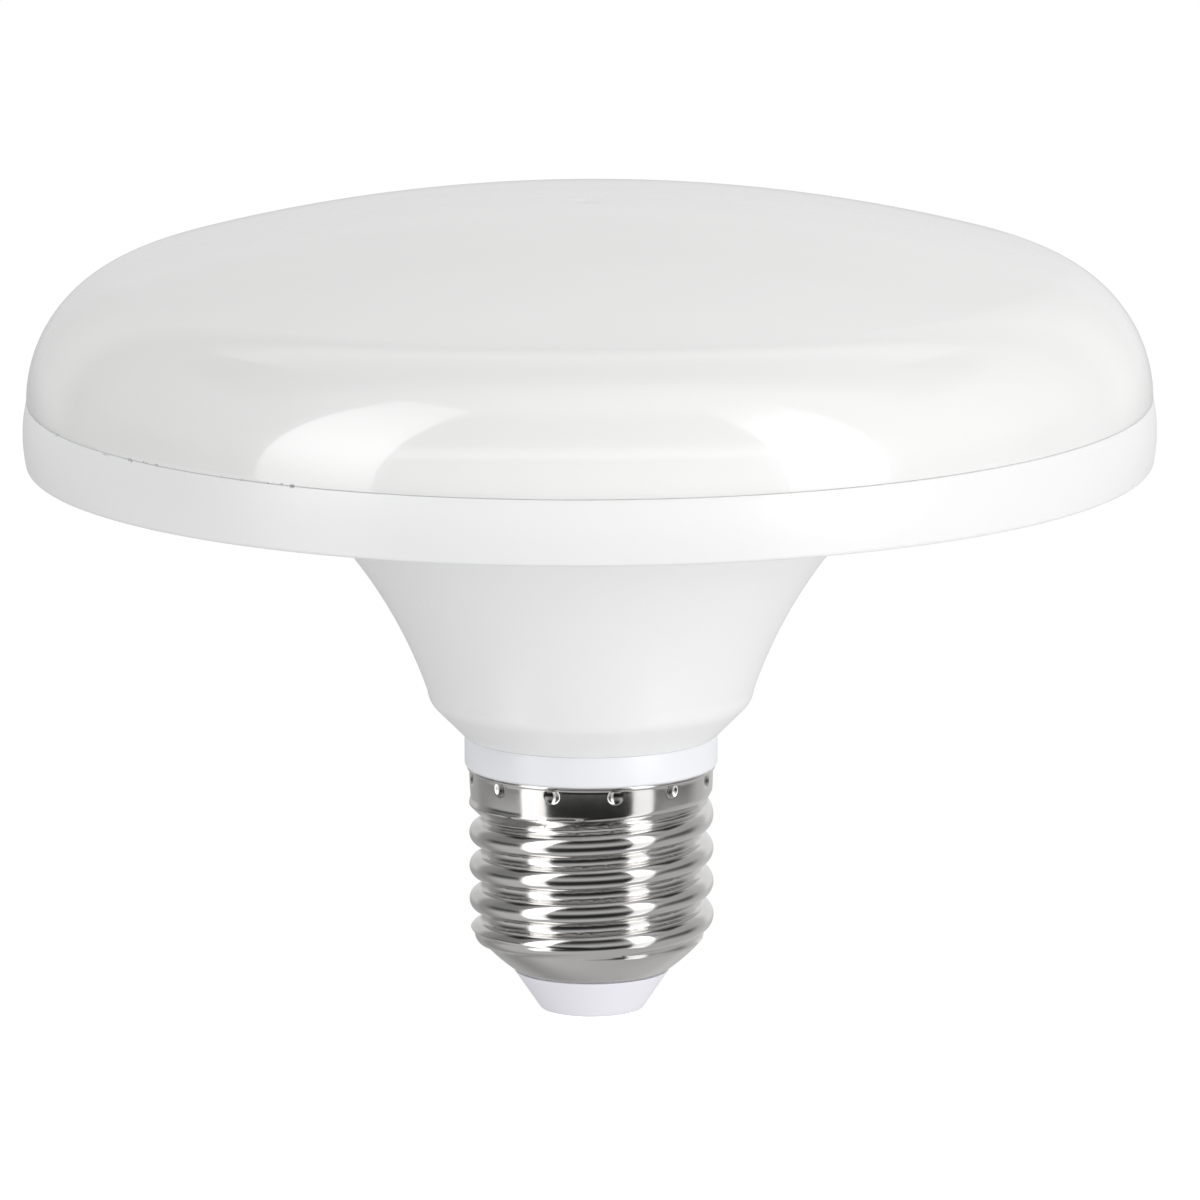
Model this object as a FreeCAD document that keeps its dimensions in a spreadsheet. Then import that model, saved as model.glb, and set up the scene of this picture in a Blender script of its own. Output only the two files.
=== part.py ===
import FreeCAD, Part
import Sketcher
import math
import os
import re

# LED disc lamp with a 27 mm Edison screw cap, standing on its cap with the domed face up.
# Millimetres. The origin is the middle of the centre contact's tip, and +Z runs up the lamp's axis.

Vector = FreeCAD.Vector
Rotation = FreeCAD.Rotation
Placement = FreeCAD.Placement

# Driving dimensions, name: value. Heights are above the tip of the centre contact.
SIZES = {
    # screw cap, from the contact's tip to the top edge of the metal shell
    "cap_height": 27.1,
    "shell_wall": 0.3,
    "crest_radius": 13.1,
    "thread_depth": 1.05,
    "thread_pitch": 3.629,
    "thread_flat": 0.8,
    "thread_low": 8.79,
    "thread_runout": 0.15,
    "skirt_plain": 3.794,
    "cutter_reach": 0.3,
    "lip_reach": 0.2,
    "lip_height": 0.3,
    "skirt_bore": 1.5,
    "mouth_set": 5.0,
    "mouth_height": 4.72,
    "mouth_thick": 0.4,
    "nose_step": 0.75,
    "nose_height": 8.7,
    "nose_arc": 9.0,
    "punch_count": 12,
    "punch_radius": 0.65,
    "punch_depth": 0.2,
    "punch_drop": 1.25,
    "punch_turn": 13,
    # insulating nose and centre contact
    "nose_face_radius": 4.7,
    "nose_edge": 0.5,
    "nose_edge_rise": 0.24,
    "nose_edge_arc": 0.64,
    "nose_cover": 0.15,
    "nose_flange": 2.1,
    "nose_play": 0.1,
    "contact_radius": 2.5,
    "contact_drop": 0.6,
    "contact_pin_radius": 0.9,
    "contact_pin_length": 7.0,
    # driver case: spigot in the shell, collar, and sleeve up to the heat spreader
    "fit_play": 0.1,
    "case_wall": 1.65,
    "slot_bite": 0.5,
    "spigot_low": 10.0,
    "collar_step": 0.45,
    "sleeve_set": 1.65,
    "collar_height": 3.35,
    "collar_edge": 0.25,
    "hook_count": 4,
    "hook_reach": 0.9,
    "hook_height": 1.6,
    "hook_angle": 24,
    "slot_play": 0.1,
    "notch_stop": 2.0,
    # housing: bottom ring, bevel, flared neck, flat underside and rim
    "housing_wall": 1.8,
    "ring_height": 2.6,
    "bevel_reach": 3.2,
    "bevel_rise": 3.15,
    "bevel_arc": 3.0,
    "neck_step": 0.75,
    "neck_land": 1.8,
    "flare_arc": 52.3,
    "flare_drop": 12.02,
    "flare_blend": 2.0,
    "body_rise": 29.55,
    "rim_radius": 60.15,
    "rim_height": 7.0,
    "rim_corner": 0.55,
    "rim_arc": 15.0,
    "rim_wall": 1.45,
    "rim_draft": 0.11,
    "seam_edge": 0.15,
    # diffuser dome
    "shoulder_lift": 0.106,
    "crown_arc": 176.1,
    "shoulder_arc": 14.6,
    "dome_wall": 1.8,
    "skirt_wall": 1.0,
    "bead_reach": 0.35,
    "bead_drop": 1.6,
    "bead_half": 0.7,
    "gate_radius": 1.45,
    "gate_depth": 0.12,
    "gate_bevel": 0.6,
    # heat spreader, LED board and what is on it
    "spreader_thick": 1.5,
    "spreader_play": 0.3,
    "spreader_hole": 8.0,
    "board_margin": 5.4,
    "led_board_thick": 1.0,
    "led_long": 3.5,
    "led_wide": 2.8,
    "led_high": 0.8,
    "inner_share": 0.377,
    "middle_share": 0.642,
    "outer_share": 0.887,
    "inner_leds": 8,
    "middle_leds": 14,
    "outer_leds": 20,
    "screw_share": 0.764,
    "screw_count": 3,
    "screw_radius": 1.25,
    "screw_play": 0.1,
    "screw_head_radius": 2.7,
    "screw_head_height": 1.6,
    "drive_depth": 0.8,
    "drive_width": 0.7,
    "drive_length": 3.2,
    "connector_long": 6.0,
    "connector_wide": 4.0,
    "connector_high": 2.6,
    "connector_inset": 1.0,
    # driver board and its parts
    "board_thick": 1.6,
    "board_low": 14.0,
    "head_room": 5.8,
    "core_leg": 2.0,
    "choke_groove": 0.8,
    "choke_flange": 1.4,
    "bridge_long": 4.2,
    "bridge_deep": 2.4,
    "chip_long": 4.9,
    "chip_deep": 1.5,
    "leg_reach": 1.0,
    "leg_wide": 0.45,
    "leg_thick": 0.2,
    "leg_pitch": 1.27,
    "diode_wide": 2.6,
    "diode_deep": 2.1,
    "resistor_wide": 1.25,
    "resistor_long": 2.0,
    "resistor_deep": 0.5,
    "resistor_count": 6,
    "seat_gap": 0.05,
    # leads
    "lead_radius": 0.55,
    "lead_pitch": 1.7,
    "supply_lead_radius": 0.4,
    "supply_bend": 1.0,
    "live_bend_start": 0.35,
    "live_bend_end": 0.75,
    "lead_clear": 0.4,
    "neutral_drop": 1.0,
    "lead_bend": 2.0,
    "lead_tail": 6.0,
    "tail_length": 2.5,
}

# Sizes across the driver board, name: share of the case's bore.
BORE_SHARES = {
    "input_cap_radius": 0.4,
    "input_cap_across": -0.25,
    "output_cap_radius": 0.315,
    "output_cap_across": 0.3,
    "core_wide": 1.0,
    "core_deep": 0.7,
    "coil_radius": 0.3,
    "film_cap_wide": 0.9,
    "film_cap_deep": 0.46,
    "film_cap_across": -0.1,
    "varistor_radius": 0.34,
    "varistor_thick": 0.28,
    "varistor_across": -0.5,
    "fuse_radius": 0.16,
    "fuse_across": 0.45,
    "choke_radius": 0.3,
    "choke_high": 0.6,
    "choke_across": -0.4,
    "bridge_wide": 0.48,
    "bridge_across": -0.4,
    "chip_wide": 0.39,
    "chip_across": 0.35,
    "diode_long": 0.43,
    "diode_across": -0.45,
    "resistor_across": 0.74,
    "lead_across": 0.525,
}

# Sizes up the driver board, name: share of the board's height.
HEIGHT_SHARES = {
    "input_cap_long": 0.357,
    "input_cap_rise": 0.595,
    "output_cap_long": 0.262,
    "output_cap_rise": 0.667,
    "core_high": 0.205,
    "core_rise": 0.238,
    "film_cap_high": 0.167,
    "film_cap_rise": 0.071,
    "varistor_rise": 0.119,
    "fuse_long": 0.19,
    "fuse_rise": 0.024,
    "choke_rise": 0.762,
    "bridge_rise": 0.357,
    "chip_rise": 0.381,
    "diode_rise": 0.548,
    "resistor_rise": 0.5,
    "resistor_pitch": 0.062,
}

# Sizes worked out from the driving ones, name: formula.
WORKED_OUT = {
    "root_radius": "crest_radius - thread_depth",
    "nose_radius": "crest_radius - nose_step",
    "mouth_radius": "crest_radius - mouth_set",
    "thread_turns": "(cap_height - skirt_plain - thread_low) / thread_pitch",
    "thread_bore": "root_radius - shell_wall",
    "thread_run": "thread_pitch / 2 - thread_flat",
    "thread_slope": "thread_run / thread_depth",
    "hollow_flat": "thread_pitch - thread_flat - 2 * thread_slope * (thread_depth - shell_wall)"
    " - 2 * shell_wall * sqrt(1 + thread_slope ^ 2)",
    "skirt_inner": "crest_radius - shell_wall",
    "skirt_step": "cap_height - skirt_bore",
    "spigot_radius": "thread_bore - fit_play",
    "case_bore": "spigot_radius - case_wall",
    "slot_width": "2 * (case_bore + slot_bite)",
    "band_radius": "skirt_inner - fit_play",
    "collar_radius": "crest_radius + collar_step",
    "sleeve_radius": "collar_radius - sleeve_set",
    "bevel_radius": "collar_radius + bevel_reach",
    "neck_radius": "bevel_radius + neck_step",
    "collar_top": "cap_height + collar_height",
    "neck_height": "collar_top + bevel_rise + neck_land",
    "flare_centre": "collar_top - flare_drop",
    "underside_height": "collar_top + body_rise",
    "seam_height": "underside_height + rim_height",
    "seam_radius": "rim_radius - rim_draft",
    "case_top": "underside_height + housing_wall",
    "ring_bore": "sleeve_radius + fit_play",
    "ring_top": "collar_top + ring_height",
    "flare_offset": "sqrt(flare_arc ^ 2 - (neck_height - flare_centre) ^ 2)",
    "flare_x": "neck_radius + flare_offset",
    "blend_height": "underside_height - flare_blend",
    "blend_sine": "(blend_height - flare_centre) / flare_arc",
    "blend_cosine": "sqrt(1 - blend_sine ^ 2)",
    "blend_radius": "flare_x - flare_arc * blend_cosine",
    "blend_arc": "flare_blend / (1 - blend_sine)",
    "blend_end": "blend_radius + blend_arc * blend_cosine",
    "flare_skin": "(flare_arc + housing_wall) / flare_arc",
    "floor_height": "underside_height + housing_wall",
    "rim_inner": "rim_radius - rim_wall",
    "skirt_outer": "rim_inner - fit_play",
    "skirt_bore_radius": "skirt_outer - skirt_wall",
    "spreader_radius": "rim_inner - spreader_play",
    "spreader_top": "floor_height + spreader_thick",
    "led_board_radius": "spreader_radius - board_margin",
    "led_board_top": "spreader_top + led_board_thick",
    "inner_ring": "led_board_radius * inner_share",
    "middle_ring": "led_board_radius * middle_share",
    "outer_ring": "led_board_radius * outer_share",
    "screw_circle": "led_board_radius * screw_share",
    "shoulder_x": "seam_radius - shoulder_arc",
    "shoulder_sine": "shoulder_x / (crown_arc - shoulder_arc)",
    "shoulder_cosine": "sqrt(1 - shoulder_sine ^ 2)",
    "shoulder_centre": "seam_height + shoulder_lift",
    "crown_centre": "shoulder_centre - (crown_arc - shoulder_arc) * shoulder_cosine",
    "dome_top": "crown_centre + crown_arc",
    "inner_shoulder": "shoulder_arc - dome_wall",
    "inner_turn": "sqrt(inner_shoulder ^ 2 - (skirt_bore_radius - shoulder_x) ^ 2)",
    "board_high": "case_top - board_low - head_room",
    "board_face": "board_thick / 2",
    "board_half": "slot_width / 2 - slot_play",
}
WORKED_OUT.update({name: f"case_bore * {share}" for name, share in BORE_SHARES.items()})
WORKED_OUT.update({name: f"board_high * {share}" for name, share in HEIGHT_SHARES.items()})

doc = FreeCAD.newDocument("disc_lamp")
sheet = doc.addObject("Spreadsheet::Sheet", "dims")


def fill_sheet():
    """Writes each driving dimension as a number and each worked-out one as a formula."""
    for row, (name, value) in enumerate([*SIZES.items(), *WORKED_OUT.items()], start=1):
        text = f"={value}" if isinstance(value, str) else str(value)
        sheet.set(f"A{row}", name)
        sheet.set(f"B{row}", text)
        sheet.setAlias(f"B{row}", name)
    doc.recompute()


def size(name):
    """The value of one named size."""
    return float(sheet.get(name))


def bound(formula):
    """A formula of size names as an expression of the sheet's cells."""
    def cell(found):
        word = found.group()
        return f"dims.{word}" if word in SIZES or word in WORKED_OUT else word
    return re.sub("[a-z_]{4,}", cell, str(formula))


def value_of(formula):
    """The number that a formula of size names gives."""
    return float(sheet.evalExpression(bound(formula)))


def bind(thing, prop, formula):
    """Ties a property of an object to a formula of size names."""
    thing.setExpression(prop, bound(formula))


def new_body(label):
    """A body that may hold several separate solids."""
    body = doc.addObject("PartDesign::Body", label)
    body.Label = label
    body.AllowCompound = True
    return body


def new_sketch(body, name, role="XZ_Plane", lift=0):
    """A sketch on one of the body's own planes, moved along the plane's normal by lift."""
    sketch = body.newObject("Sketcher::SketchObject", name)
    face = next(f for f in body.Origin.OriginFeatures if f.Role == role)
    sketch.AttachmentSupport = (face, [""])
    sketch.MapMode = "FlatFace"
    if lift:
        bind(sketch, "AttachmentOffset.Base.z", lift)
    return sketch


def fix_point(sketch, geometry, end, across, up):
    """Places one end of a sketch edge by two formulas."""
    for kind, formula in (("DistanceX", across), ("DistanceY", up)):
        index = sketch.addConstraint(Sketcher.Constraint(kind, geometry, end, value_of(formula)))
        bind(sketch, f"Constraints[{index}]", formula)


def draw(sketch, corners):
    """Closed outline through corners (across, up), each a formula.

    A corner with (radius, "left" or "right") added starts an arc with its centre on that side.
    """
    spots = [(value_of(c[0]), value_of(c[1])) for c in corners]
    ends = []
    for index, corner in enumerate(corners):
        here = Vector(*spots[index], 0)
        there = Vector(*spots[(index + 1) % len(corners)], 0)
        if len(corner) == 2:
            sketch.addGeometry(Part.LineSegment(here, there), False)
            ends.append((1, 2))
            continue
        radius, side = value_of(corner[2]), corner[3]
        half = (there - here) * 0.5
        normal = Vector(-half.y, half.x, 0).normalize()
        reach = math.sqrt(radius ** 2 - half.Length ** 2)
        centre = here + half + normal * (reach if side == "left" else -reach)
        first, last = (here, there) if side == "left" else (there, here)
        angles = [math.atan2((p - centre).y, (p - centre).x) for p in (first, last)]
        circle = Part.Circle(centre, Vector(0, 0, 1), radius)
        sketch.addGeometry(Part.ArcOfCircle(circle, *angles), False)
        ends.append((1, 2) if side == "left" else (2, 1))
    for index, corner in enumerate(corners):
        after = (index + 1) % len(corners)
        joint = Sketcher.Constraint("Coincident", index, ends[index][1], after, ends[after][0])
        sketch.addConstraint(joint)
        fix_point(sketch, index, ends[index][0], corner[0], corner[1])
        if len(corner) > 2:
            spot = sketch.addConstraint(Sketcher.Constraint("Radius", index, value_of(corner[2])))
            bind(sketch, f"Constraints[{spot}]", corner[2])
    return sketch


def draw_circle(sketch, across, up, radius):
    """A circle with its centre and radius given by formulas."""
    centre = Vector(value_of(across), value_of(up), 0)
    index = sketch.addGeometry(Part.Circle(centre, Vector(0, 0, 1), value_of(radius)), False)
    fix_point(sketch, index, 3, across, up)
    spot = sketch.addConstraint(Sketcher.Constraint("Radius", index, value_of(radius)))
    bind(sketch, f"Constraints[{spot}]", radius)
    return sketch


def draw_box(sketch, left, right, low, high):
    """A rectangle between four formulas."""
    return draw(sketch, [(left, low), (right, low), (right, high), (left, high)])


def turn(body, name, corners, kind="Revolution", angle=360):
    """Turns an outline in the XZ plane about the lamp's axis, added or cut away."""
    feature_sketch = draw(new_sketch(body, f"{name}_outline"), corners)
    feature = body.newObject(f"PartDesign::{kind}", name)
    feature.Profile = feature_sketch
    feature.ReferenceAxis = (feature_sketch, ["V_Axis"])
    feature.Angle = angle
    return feature


def raise_pad(body, name, sketch, height):
    """Pads a sketch upwards by a formula."""
    pad = body.newObject("PartDesign::Pad", name)
    pad.Profile = sketch
    bind(pad, "Length", height)
    return pad


def cut_down(body, name, sketch, depth):
    """Cuts a sketch downwards by a formula."""
    pocket = body.newObject("PartDesign::Pocket", name)
    pocket.Profile = sketch
    bind(pocket, "Length", depth)
    return pocket


def raise_cut(body, name, sketch, height):
    """Cuts a sketch upwards by a formula."""
    pocket = cut_down(body, name, sketch, height)
    pocket.Reversed = True
    return pocket


def repeat_round(body, name, feature, count):
    """Repeats a feature evenly round the lamp's axis."""
    pattern = body.newObject("PartDesign::PolarPattern", name)
    pattern.Originals = [feature]
    pattern.Axis = (next(f for f in body.Origin.OriginFeatures if f.Role == "Z_Axis"), [""])
    pattern.Angle = 360
    bind(pattern, "Occurrences", count)
    body.Tip = pattern
    return pattern


def helix_cut(body, name, corners, turns):
    """Cuts an outline along a right-handed helix of the thread's pitch."""
    groove_sketch = draw(new_sketch(body, f"{name}_outline"), corners)
    groove = body.newObject("PartDesign::SubtractiveHelix", name)
    groove.Profile = groove_sketch
    groove.ReferenceAxis = (groove_sketch, ["V_Axis"])
    groove.Mode = "pitch-turns-angle"
    bind(groove, "Pitch", "thread_pitch")
    bind(groove, "Turns", turns)
    return groove


def block(name, spans):
    """A box between three pairs of formulas, along X, Y and Z."""
    box = doc.addObject("Part::Box", name)
    for prop, axis, (low, high) in zip(("Length", "Width", "Height"), "xyz", spans):
        bind(box, prop, f"({high}) - ({low})")
        bind(box, f"Placement.Base.{axis}", low)
    return box


def round_bar(name, start, radius, length, direction=Vector(0, 0, 1)):
    """A cylinder from a start point of formulas, along a direction."""
    bar = doc.addObject("Part::Cylinder", name)
    bind(bar, "Radius", radius)
    bind(bar, "Height", length)
    bar.Placement = Placement(Vector(), Rotation(Vector(0, 0, 1), direction))
    for axis, formula in zip("xyz", start):
        bind(bar, f"Placement.Base.{axis}", formula)
    return bar


def join(label, pieces):
    """One solid fused from several primitives."""
    fused = doc.addObject("Part::MultiFuse", label)
    fused.Shapes = pieces
    fused.Label = label
    return fused


def as_node(thing, label):
    """Gives a primitive the label that names its file."""
    thing.Label = label
    return thing


def screw_shell():
    """Thin metal shell: flared lip, plain skirt, rolled thread and turned-in nose."""
    body = new_body("screw_shell")
    turn(body, "sheet_metal", [
        ("mouth_radius", "mouth_height", "nose_arc", "left"),
        ("nose_radius", "nose_height"),
        ("crest_radius", "nose_height + crest_radius - nose_radius"),
        ("crest_radius", "cap_height - lip_height"),
        ("crest_radius + lip_reach", "cap_height - lip_height + lip_reach"),
        ("crest_radius + lip_reach", "cap_height"),
        ("skirt_inner", "cap_height"),
        ("skirt_inner", "skirt_step"),
        ("thread_bore", "skirt_step"),
        ("thread_bore", "nose_height - shell_wall", "nose_arc", "right"),
        ("mouth_radius", "mouth_height + mouth_thick"),
    ])
    doc.recompute()
    edge = "thread_flat / 2 + thread_slope * (thread_depth + cutter_reach)"
    helix_cut(body, "thread_groove", [
        ("root_radius", "thread_low - thread_flat / 2"),
        ("crest_radius + cutter_reach", f"thread_low - ({edge})"),
        ("crest_radius + cutter_reach", f"thread_low + {edge}"),
        ("root_radius", "thread_low + thread_flat / 2"),
    ], "thread_turns + thread_runout")
    doc.recompute()
    centre = "thread_low + thread_pitch / 2"
    inner_edge = "hollow_flat / 2 + thread_slope * (thread_depth - shell_wall + cutter_reach)"
    helix_cut(body, "inner_groove", [
        ("skirt_inner", f"{centre} - hollow_flat / 2"),
        ("skirt_inner", f"{centre} + hollow_flat / 2"),
        ("thread_bore - cutter_reach", f"{centre} + {inner_edge}"),
        ("thread_bore - cutter_reach", f"{centre} - ({inner_edge})"),
    ], "thread_turns - 0.5 + thread_runout")
    doc.recompute()
    punch_marks(body)
    return body


def punch_marks(body):
    """Ring of shallow round punch marks under the lip, which lock the shell on the spigot."""
    ball = body.newObject("PartDesign::SubtractiveSphere", "punch")
    curve = "(punch_radius ^ 2 + punch_depth ^ 2) / (2 * punch_depth)"
    bind(ball, "Radius", curve)
    distance = f"crest_radius - punch_depth + {curve}"
    bind(ball, "Placement.Base.x", f"({distance}) * cos(punch_turn)")
    bind(ball, "Placement.Base.y", f"({distance}) * sin(punch_turn)")
    bind(ball, "Placement.Base.z", "cap_height - punch_drop")
    doc.recompute()
    repeat_round(body, "punch_ring", ball, "punch_count")


def cap_insulator():
    """White nose: cone under the shell, a neck in the shell's mouth and a flange above it."""
    body = new_body("cap_insulator")
    turn(body, "nose", [
        ("contact_pin_radius", "contact_drop"),
        ("nose_face_radius", "contact_drop", "nose_edge_arc", "left"),
        ("nose_face_radius + nose_edge", "contact_drop + nose_edge_rise"),
        ("mouth_radius + nose_cover", "mouth_height"),
        ("mouth_radius - nose_play", "mouth_height"),
        ("mouth_radius - nose_play", "mouth_height + mouth_thick + nose_play"),
        ("mouth_radius + nose_flange", "mouth_height + mouth_thick + nose_play + nose_flange"),
        ("contact_pin_radius", "mouth_height + mouth_thick + nose_play + nose_flange"),
    ])
    return body


def centre_contact():
    """Round contact head with a pin up through the nose."""
    body = new_body("centre_contact")
    turn(body, "pin", [
        ("0", "0"),
        ("contact_radius - contact_drop / 3", "0"),
        ("contact_radius", "contact_drop / 3"),
        ("contact_radius", "contact_drop"),
        ("contact_pin_radius", "contact_drop"),
        ("contact_pin_radius", "contact_drop + contact_pin_length"),
        ("0", "contact_drop + contact_pin_length"),
    ])
    return body


def driver_case():
    """Moulded case: spigot for the shell, visible collar, sleeve, snap hooks and board slots."""
    body = new_body("driver_case")
    turn(body, "tube", [
        ("case_bore", "spigot_low"),
        ("spigot_radius", "spigot_low"),
        ("spigot_radius", "skirt_step + fit_play"),
        ("band_radius", "skirt_step + fit_play"),
        ("band_radius", "cap_height"),
        ("collar_radius - collar_edge", "cap_height"),
        ("collar_radius", "cap_height + collar_edge"),
        ("collar_radius", "collar_top"),
        ("sleeve_radius", "collar_top"),
        ("sleeve_radius", "case_top"),
        ("case_bore", "case_top"),
    ])
    doc.recompute()
    hook = turn(body, "hook", [
        ("sleeve_radius - fit_play", "ring_top + fit_play"),
        ("sleeve_radius + hook_reach", "ring_top + fit_play"),
        ("sleeve_radius - fit_play", "ring_top + fit_play + hook_height"),
    ])
    bind(hook, "Angle", "hook_angle")
    hook.Midplane = True
    doc.recompute()
    repeat_round(body, "hooks", hook, "hook_count")
    slots = new_sketch(body, "slot_outline", "XY_Plane", "board_low")
    half_slot = "board_face + slot_play"
    draw_box(slots, "-slot_width / 2", "slot_width / 2", f"-({half_slot})", half_slot)
    raise_cut(body, "board_slots", slots, "case_top - board_low")
    doc.recompute()
    notch_box = new_sketch(body, "notch_outline", "XY_Plane", "spigot_low")
    half = "supply_lead_radius + slot_play"
    floor = "-(spigot_radius - 2 * supply_lead_radius - 2 * slot_play)"
    draw_box(notch_box, f"-({half})", half, "-(spigot_radius + cutter_reach)", floor)
    raise_cut(body, "lead_notch", notch_box, "skirt_step - spigot_low - notch_stop")
    return body


def housing():
    """Moulded housing: bottom ring, bevel, flared neck, flat underside and barrelled rim."""
    body = new_body("housing")
    skin_x = "flare_x - (flare_x - {0}) * flare_skin"
    skin_z = "flare_centre + ({0} - flare_centre) * flare_skin"
    turn(body, "wall", [
        ("ring_bore", "collar_top"),
        ("collar_radius", "collar_top"),
        ("bevel_radius", "collar_top + bevel_rise", "bevel_arc", "left"),
        ("neck_radius", "neck_height", "flare_arc", "right"),
        ("blend_radius", "blend_height", "blend_arc", "right"),
        ("blend_end", "underside_height"),
        ("rim_radius - rim_corner", "underside_height", "rim_corner", "left"),
        ("rim_radius", "underside_height + rim_corner", "rim_arc", "left"),
        ("seam_radius + seam_edge / 2", "seam_height - seam_edge"),
        ("seam_radius - seam_edge", "seam_height"),
        ("rim_inner", "seam_height"),
        ("rim_inner", "seam_height - bead_drop + bead_half + fit_play"),
        ("rim_inner + bead_reach", "seam_height - bead_drop"),
        ("rim_inner", "seam_height - bead_drop - bead_half - fit_play"),
        ("rim_inner", "floor_height"),
        ("blend_end", "floor_height", "blend_arc + housing_wall", "left"),
        (skin_x.format("blend_radius"), skin_z.format("blend_height"), "flare_arc + housing_wall", "left"),
        (skin_x.format("neck_radius"), skin_z.format("neck_height")),
        ("bevel_radius - housing_wall", "ring_top + housing_wall / 2"),
        ("bevel_radius - 2 * housing_wall", "ring_top"),
        ("ring_bore", "ring_top"),
    ])
    return body


def diffuser():
    """Opal dome: shallow crown, tight shoulder, and a skirt with a snap bead inside the rim."""
    body = new_body("diffuser")
    inner_x = "(crown_arc - dome_wall) * shoulder_sine"
    inner_z = "crown_centre + (crown_arc - dome_wall) * shoulder_cosine"
    turn(body, "dome", [
        ("0", "dome_top", "crown_arc", "right"),
        ("crown_arc * shoulder_sine", "crown_centre + crown_arc * shoulder_cosine", "shoulder_arc", "right"),
        ("seam_radius", "shoulder_centre"),
        ("seam_radius - seam_edge", "seam_height"),
        ("skirt_outer", "seam_height"),
        ("skirt_outer", "seam_height - bead_drop + bead_half"),
        ("skirt_outer + bead_reach", "seam_height - bead_drop"),
        ("skirt_outer", "seam_height - bead_drop - bead_half"),
        ("skirt_outer", "spreader_top"),
        ("skirt_bore_radius", "spreader_top"),
        ("skirt_bore_radius", "shoulder_centre + inner_turn", "inner_shoulder", "left"),
        (inner_x, inner_z, "crown_arc - dome_wall", "left"),
        ("0", "dome_top - dome_wall"),
    ])
    doc.recompute()
    turn(body, "gate_mark", [
        ("0", "dome_top - gate_depth"),
        ("gate_radius - gate_bevel", "dome_top - gate_depth"),
        ("gate_radius", "dome_top"),
        ("0", "dome_top"),
    ], "Groove")
    return body


def heat_spreader():
    """Aluminium disc on the housing's floor, with a wire hole and tapped holes."""
    body = new_body("heat_spreader")
    outline = new_sketch(body, "disc_outline", "XY_Plane", "floor_height")
    draw_circle(outline, "0", "0", "spreader_radius")
    draw_circle(outline, "0", "0", "spreader_hole")
    raise_pad(body, "disc", outline, "spreader_thick")
    doc.recompute()
    screw_holes(body, "spreader_top + 1")
    return body


def screw_holes(body, height):
    """Holes for the board screws, all the way through."""
    hole = draw_circle(new_sketch(body, "hole_outline", "XY_Plane", height),
                       "screw_circle", "0", "screw_radius + screw_play")
    cut = cut_down(body, "screw_hole", hole, "spreader_thick + led_board_thick + 2")
    doc.recompute()
    repeat_round(body, "screw_holes", cut, "screw_count")


def led_board():
    """Aluminium-core board for the LEDs."""
    body = new_body("led_board")
    outline = new_sketch(body, "disc_outline", "XY_Plane", "spreader_top")
    draw_circle(outline, "0", "0", "led_board_radius")
    draw_circle(outline, "0", "0", "spreader_hole")
    raise_pad(body, "disc", outline, "led_board_thick")
    doc.recompute()
    screw_holes(body, "led_board_top + 1")
    return body


def led_chips():
    """Three rings of LED packages, each package a solid of its own."""
    body = new_body("led_chips")
    for ring in ("inner", "middle", "outer"):
        outline = new_sketch(body, f"{ring}_outline", "XY_Plane", "led_board_top")
        draw_box(outline, f"{ring}_ring - led_wide / 2", f"{ring}_ring + led_wide / 2",
                 "-led_long / 2", "led_long / 2")
        chip = raise_pad(body, f"{ring}_chip", outline, "led_high")
        doc.recompute()
        repeat_round(body, f"{ring}_chips", chip, f"{ring}_leds")
        doc.recompute()
    return body


def board_screws():
    """Pan-head screws through the LED board into the heat spreader, cross-driven."""
    body = new_body("board_screws")
    shank = draw_circle(new_sketch(body, "shank_outline", "XY_Plane", "floor_height"),
                        "screw_circle", "0", "screw_radius")
    shank_pad = raise_pad(body, "shank", shank, "spreader_thick + led_board_thick")
    doc.recompute()
    head = draw_circle(new_sketch(body, "head_outline", "XY_Plane", "led_board_top"),
                       "screw_circle", "0", "screw_head_radius")
    head_pad = raise_pad(body, "head", head, "screw_head_height")
    doc.recompute()
    cuts = []
    arms = (("slot", "drive_length", "drive_width"), ("cross", "drive_width", "drive_length"))
    for name, wide, long in arms:
        outline = new_sketch(body, f"{name}_outline", "XY_Plane", "led_board_top + screw_head_height")
        draw_box(outline, f"screw_circle - {wide} / 2", f"screw_circle + {wide} / 2",
                 f"-{long} / 2", f"{long} / 2")
        cuts.append(cut_down(body, name, outline, "drive_depth"))
        doc.recompute()
    pattern = repeat_round(body, "screws", shank_pad, "screw_count")
    pattern.Originals = [shank_pad, head_pad, *cuts]
    return body


CONNECTOR_Y = "spreader_hole + connector_inset"


def led_connector():
    """Small two-pole connector at the edge of the wire hole."""
    body_box = block("connector_body", (
        ("lead_across - connector_long / 2", "lead_across + connector_long / 2"),
        (CONNECTOR_Y, f"{CONNECTOR_Y} + connector_wide"),
        ("led_board_top", "led_board_top + connector_high"),
    ))
    return as_node(body_box, "led_connector")


def driver_board():
    """Circuit board standing in the case's two slots."""
    return as_node(block("circuit_board", (
        ("-board_half", "board_half"),
        ("-board_face", "board_face"),
        ("board_low", "board_low + board_high"),
    )), "driver_board")


def input_capacitor():
    """Large electrolytic lying along the front of the board."""
    body = round_bar("input_can", ("input_cap_across", "board_face + input_cap_radius + seat_gap",
                                   "board_low + input_cap_rise"),
                     "input_cap_radius", "input_cap_long")
    return as_node(body, "input_capacitor")


def output_capacitor():
    """Smaller electrolytic lying along the back of the board."""
    body = round_bar("output_can", ("output_cap_across", "-(board_face + output_cap_radius + seat_gap)",
                                    "board_low + output_cap_rise"),
                     "output_cap_radius", "output_cap_long")
    return as_node(body, "output_capacitor")


CORE_LOW = "board_low + core_rise"


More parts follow.
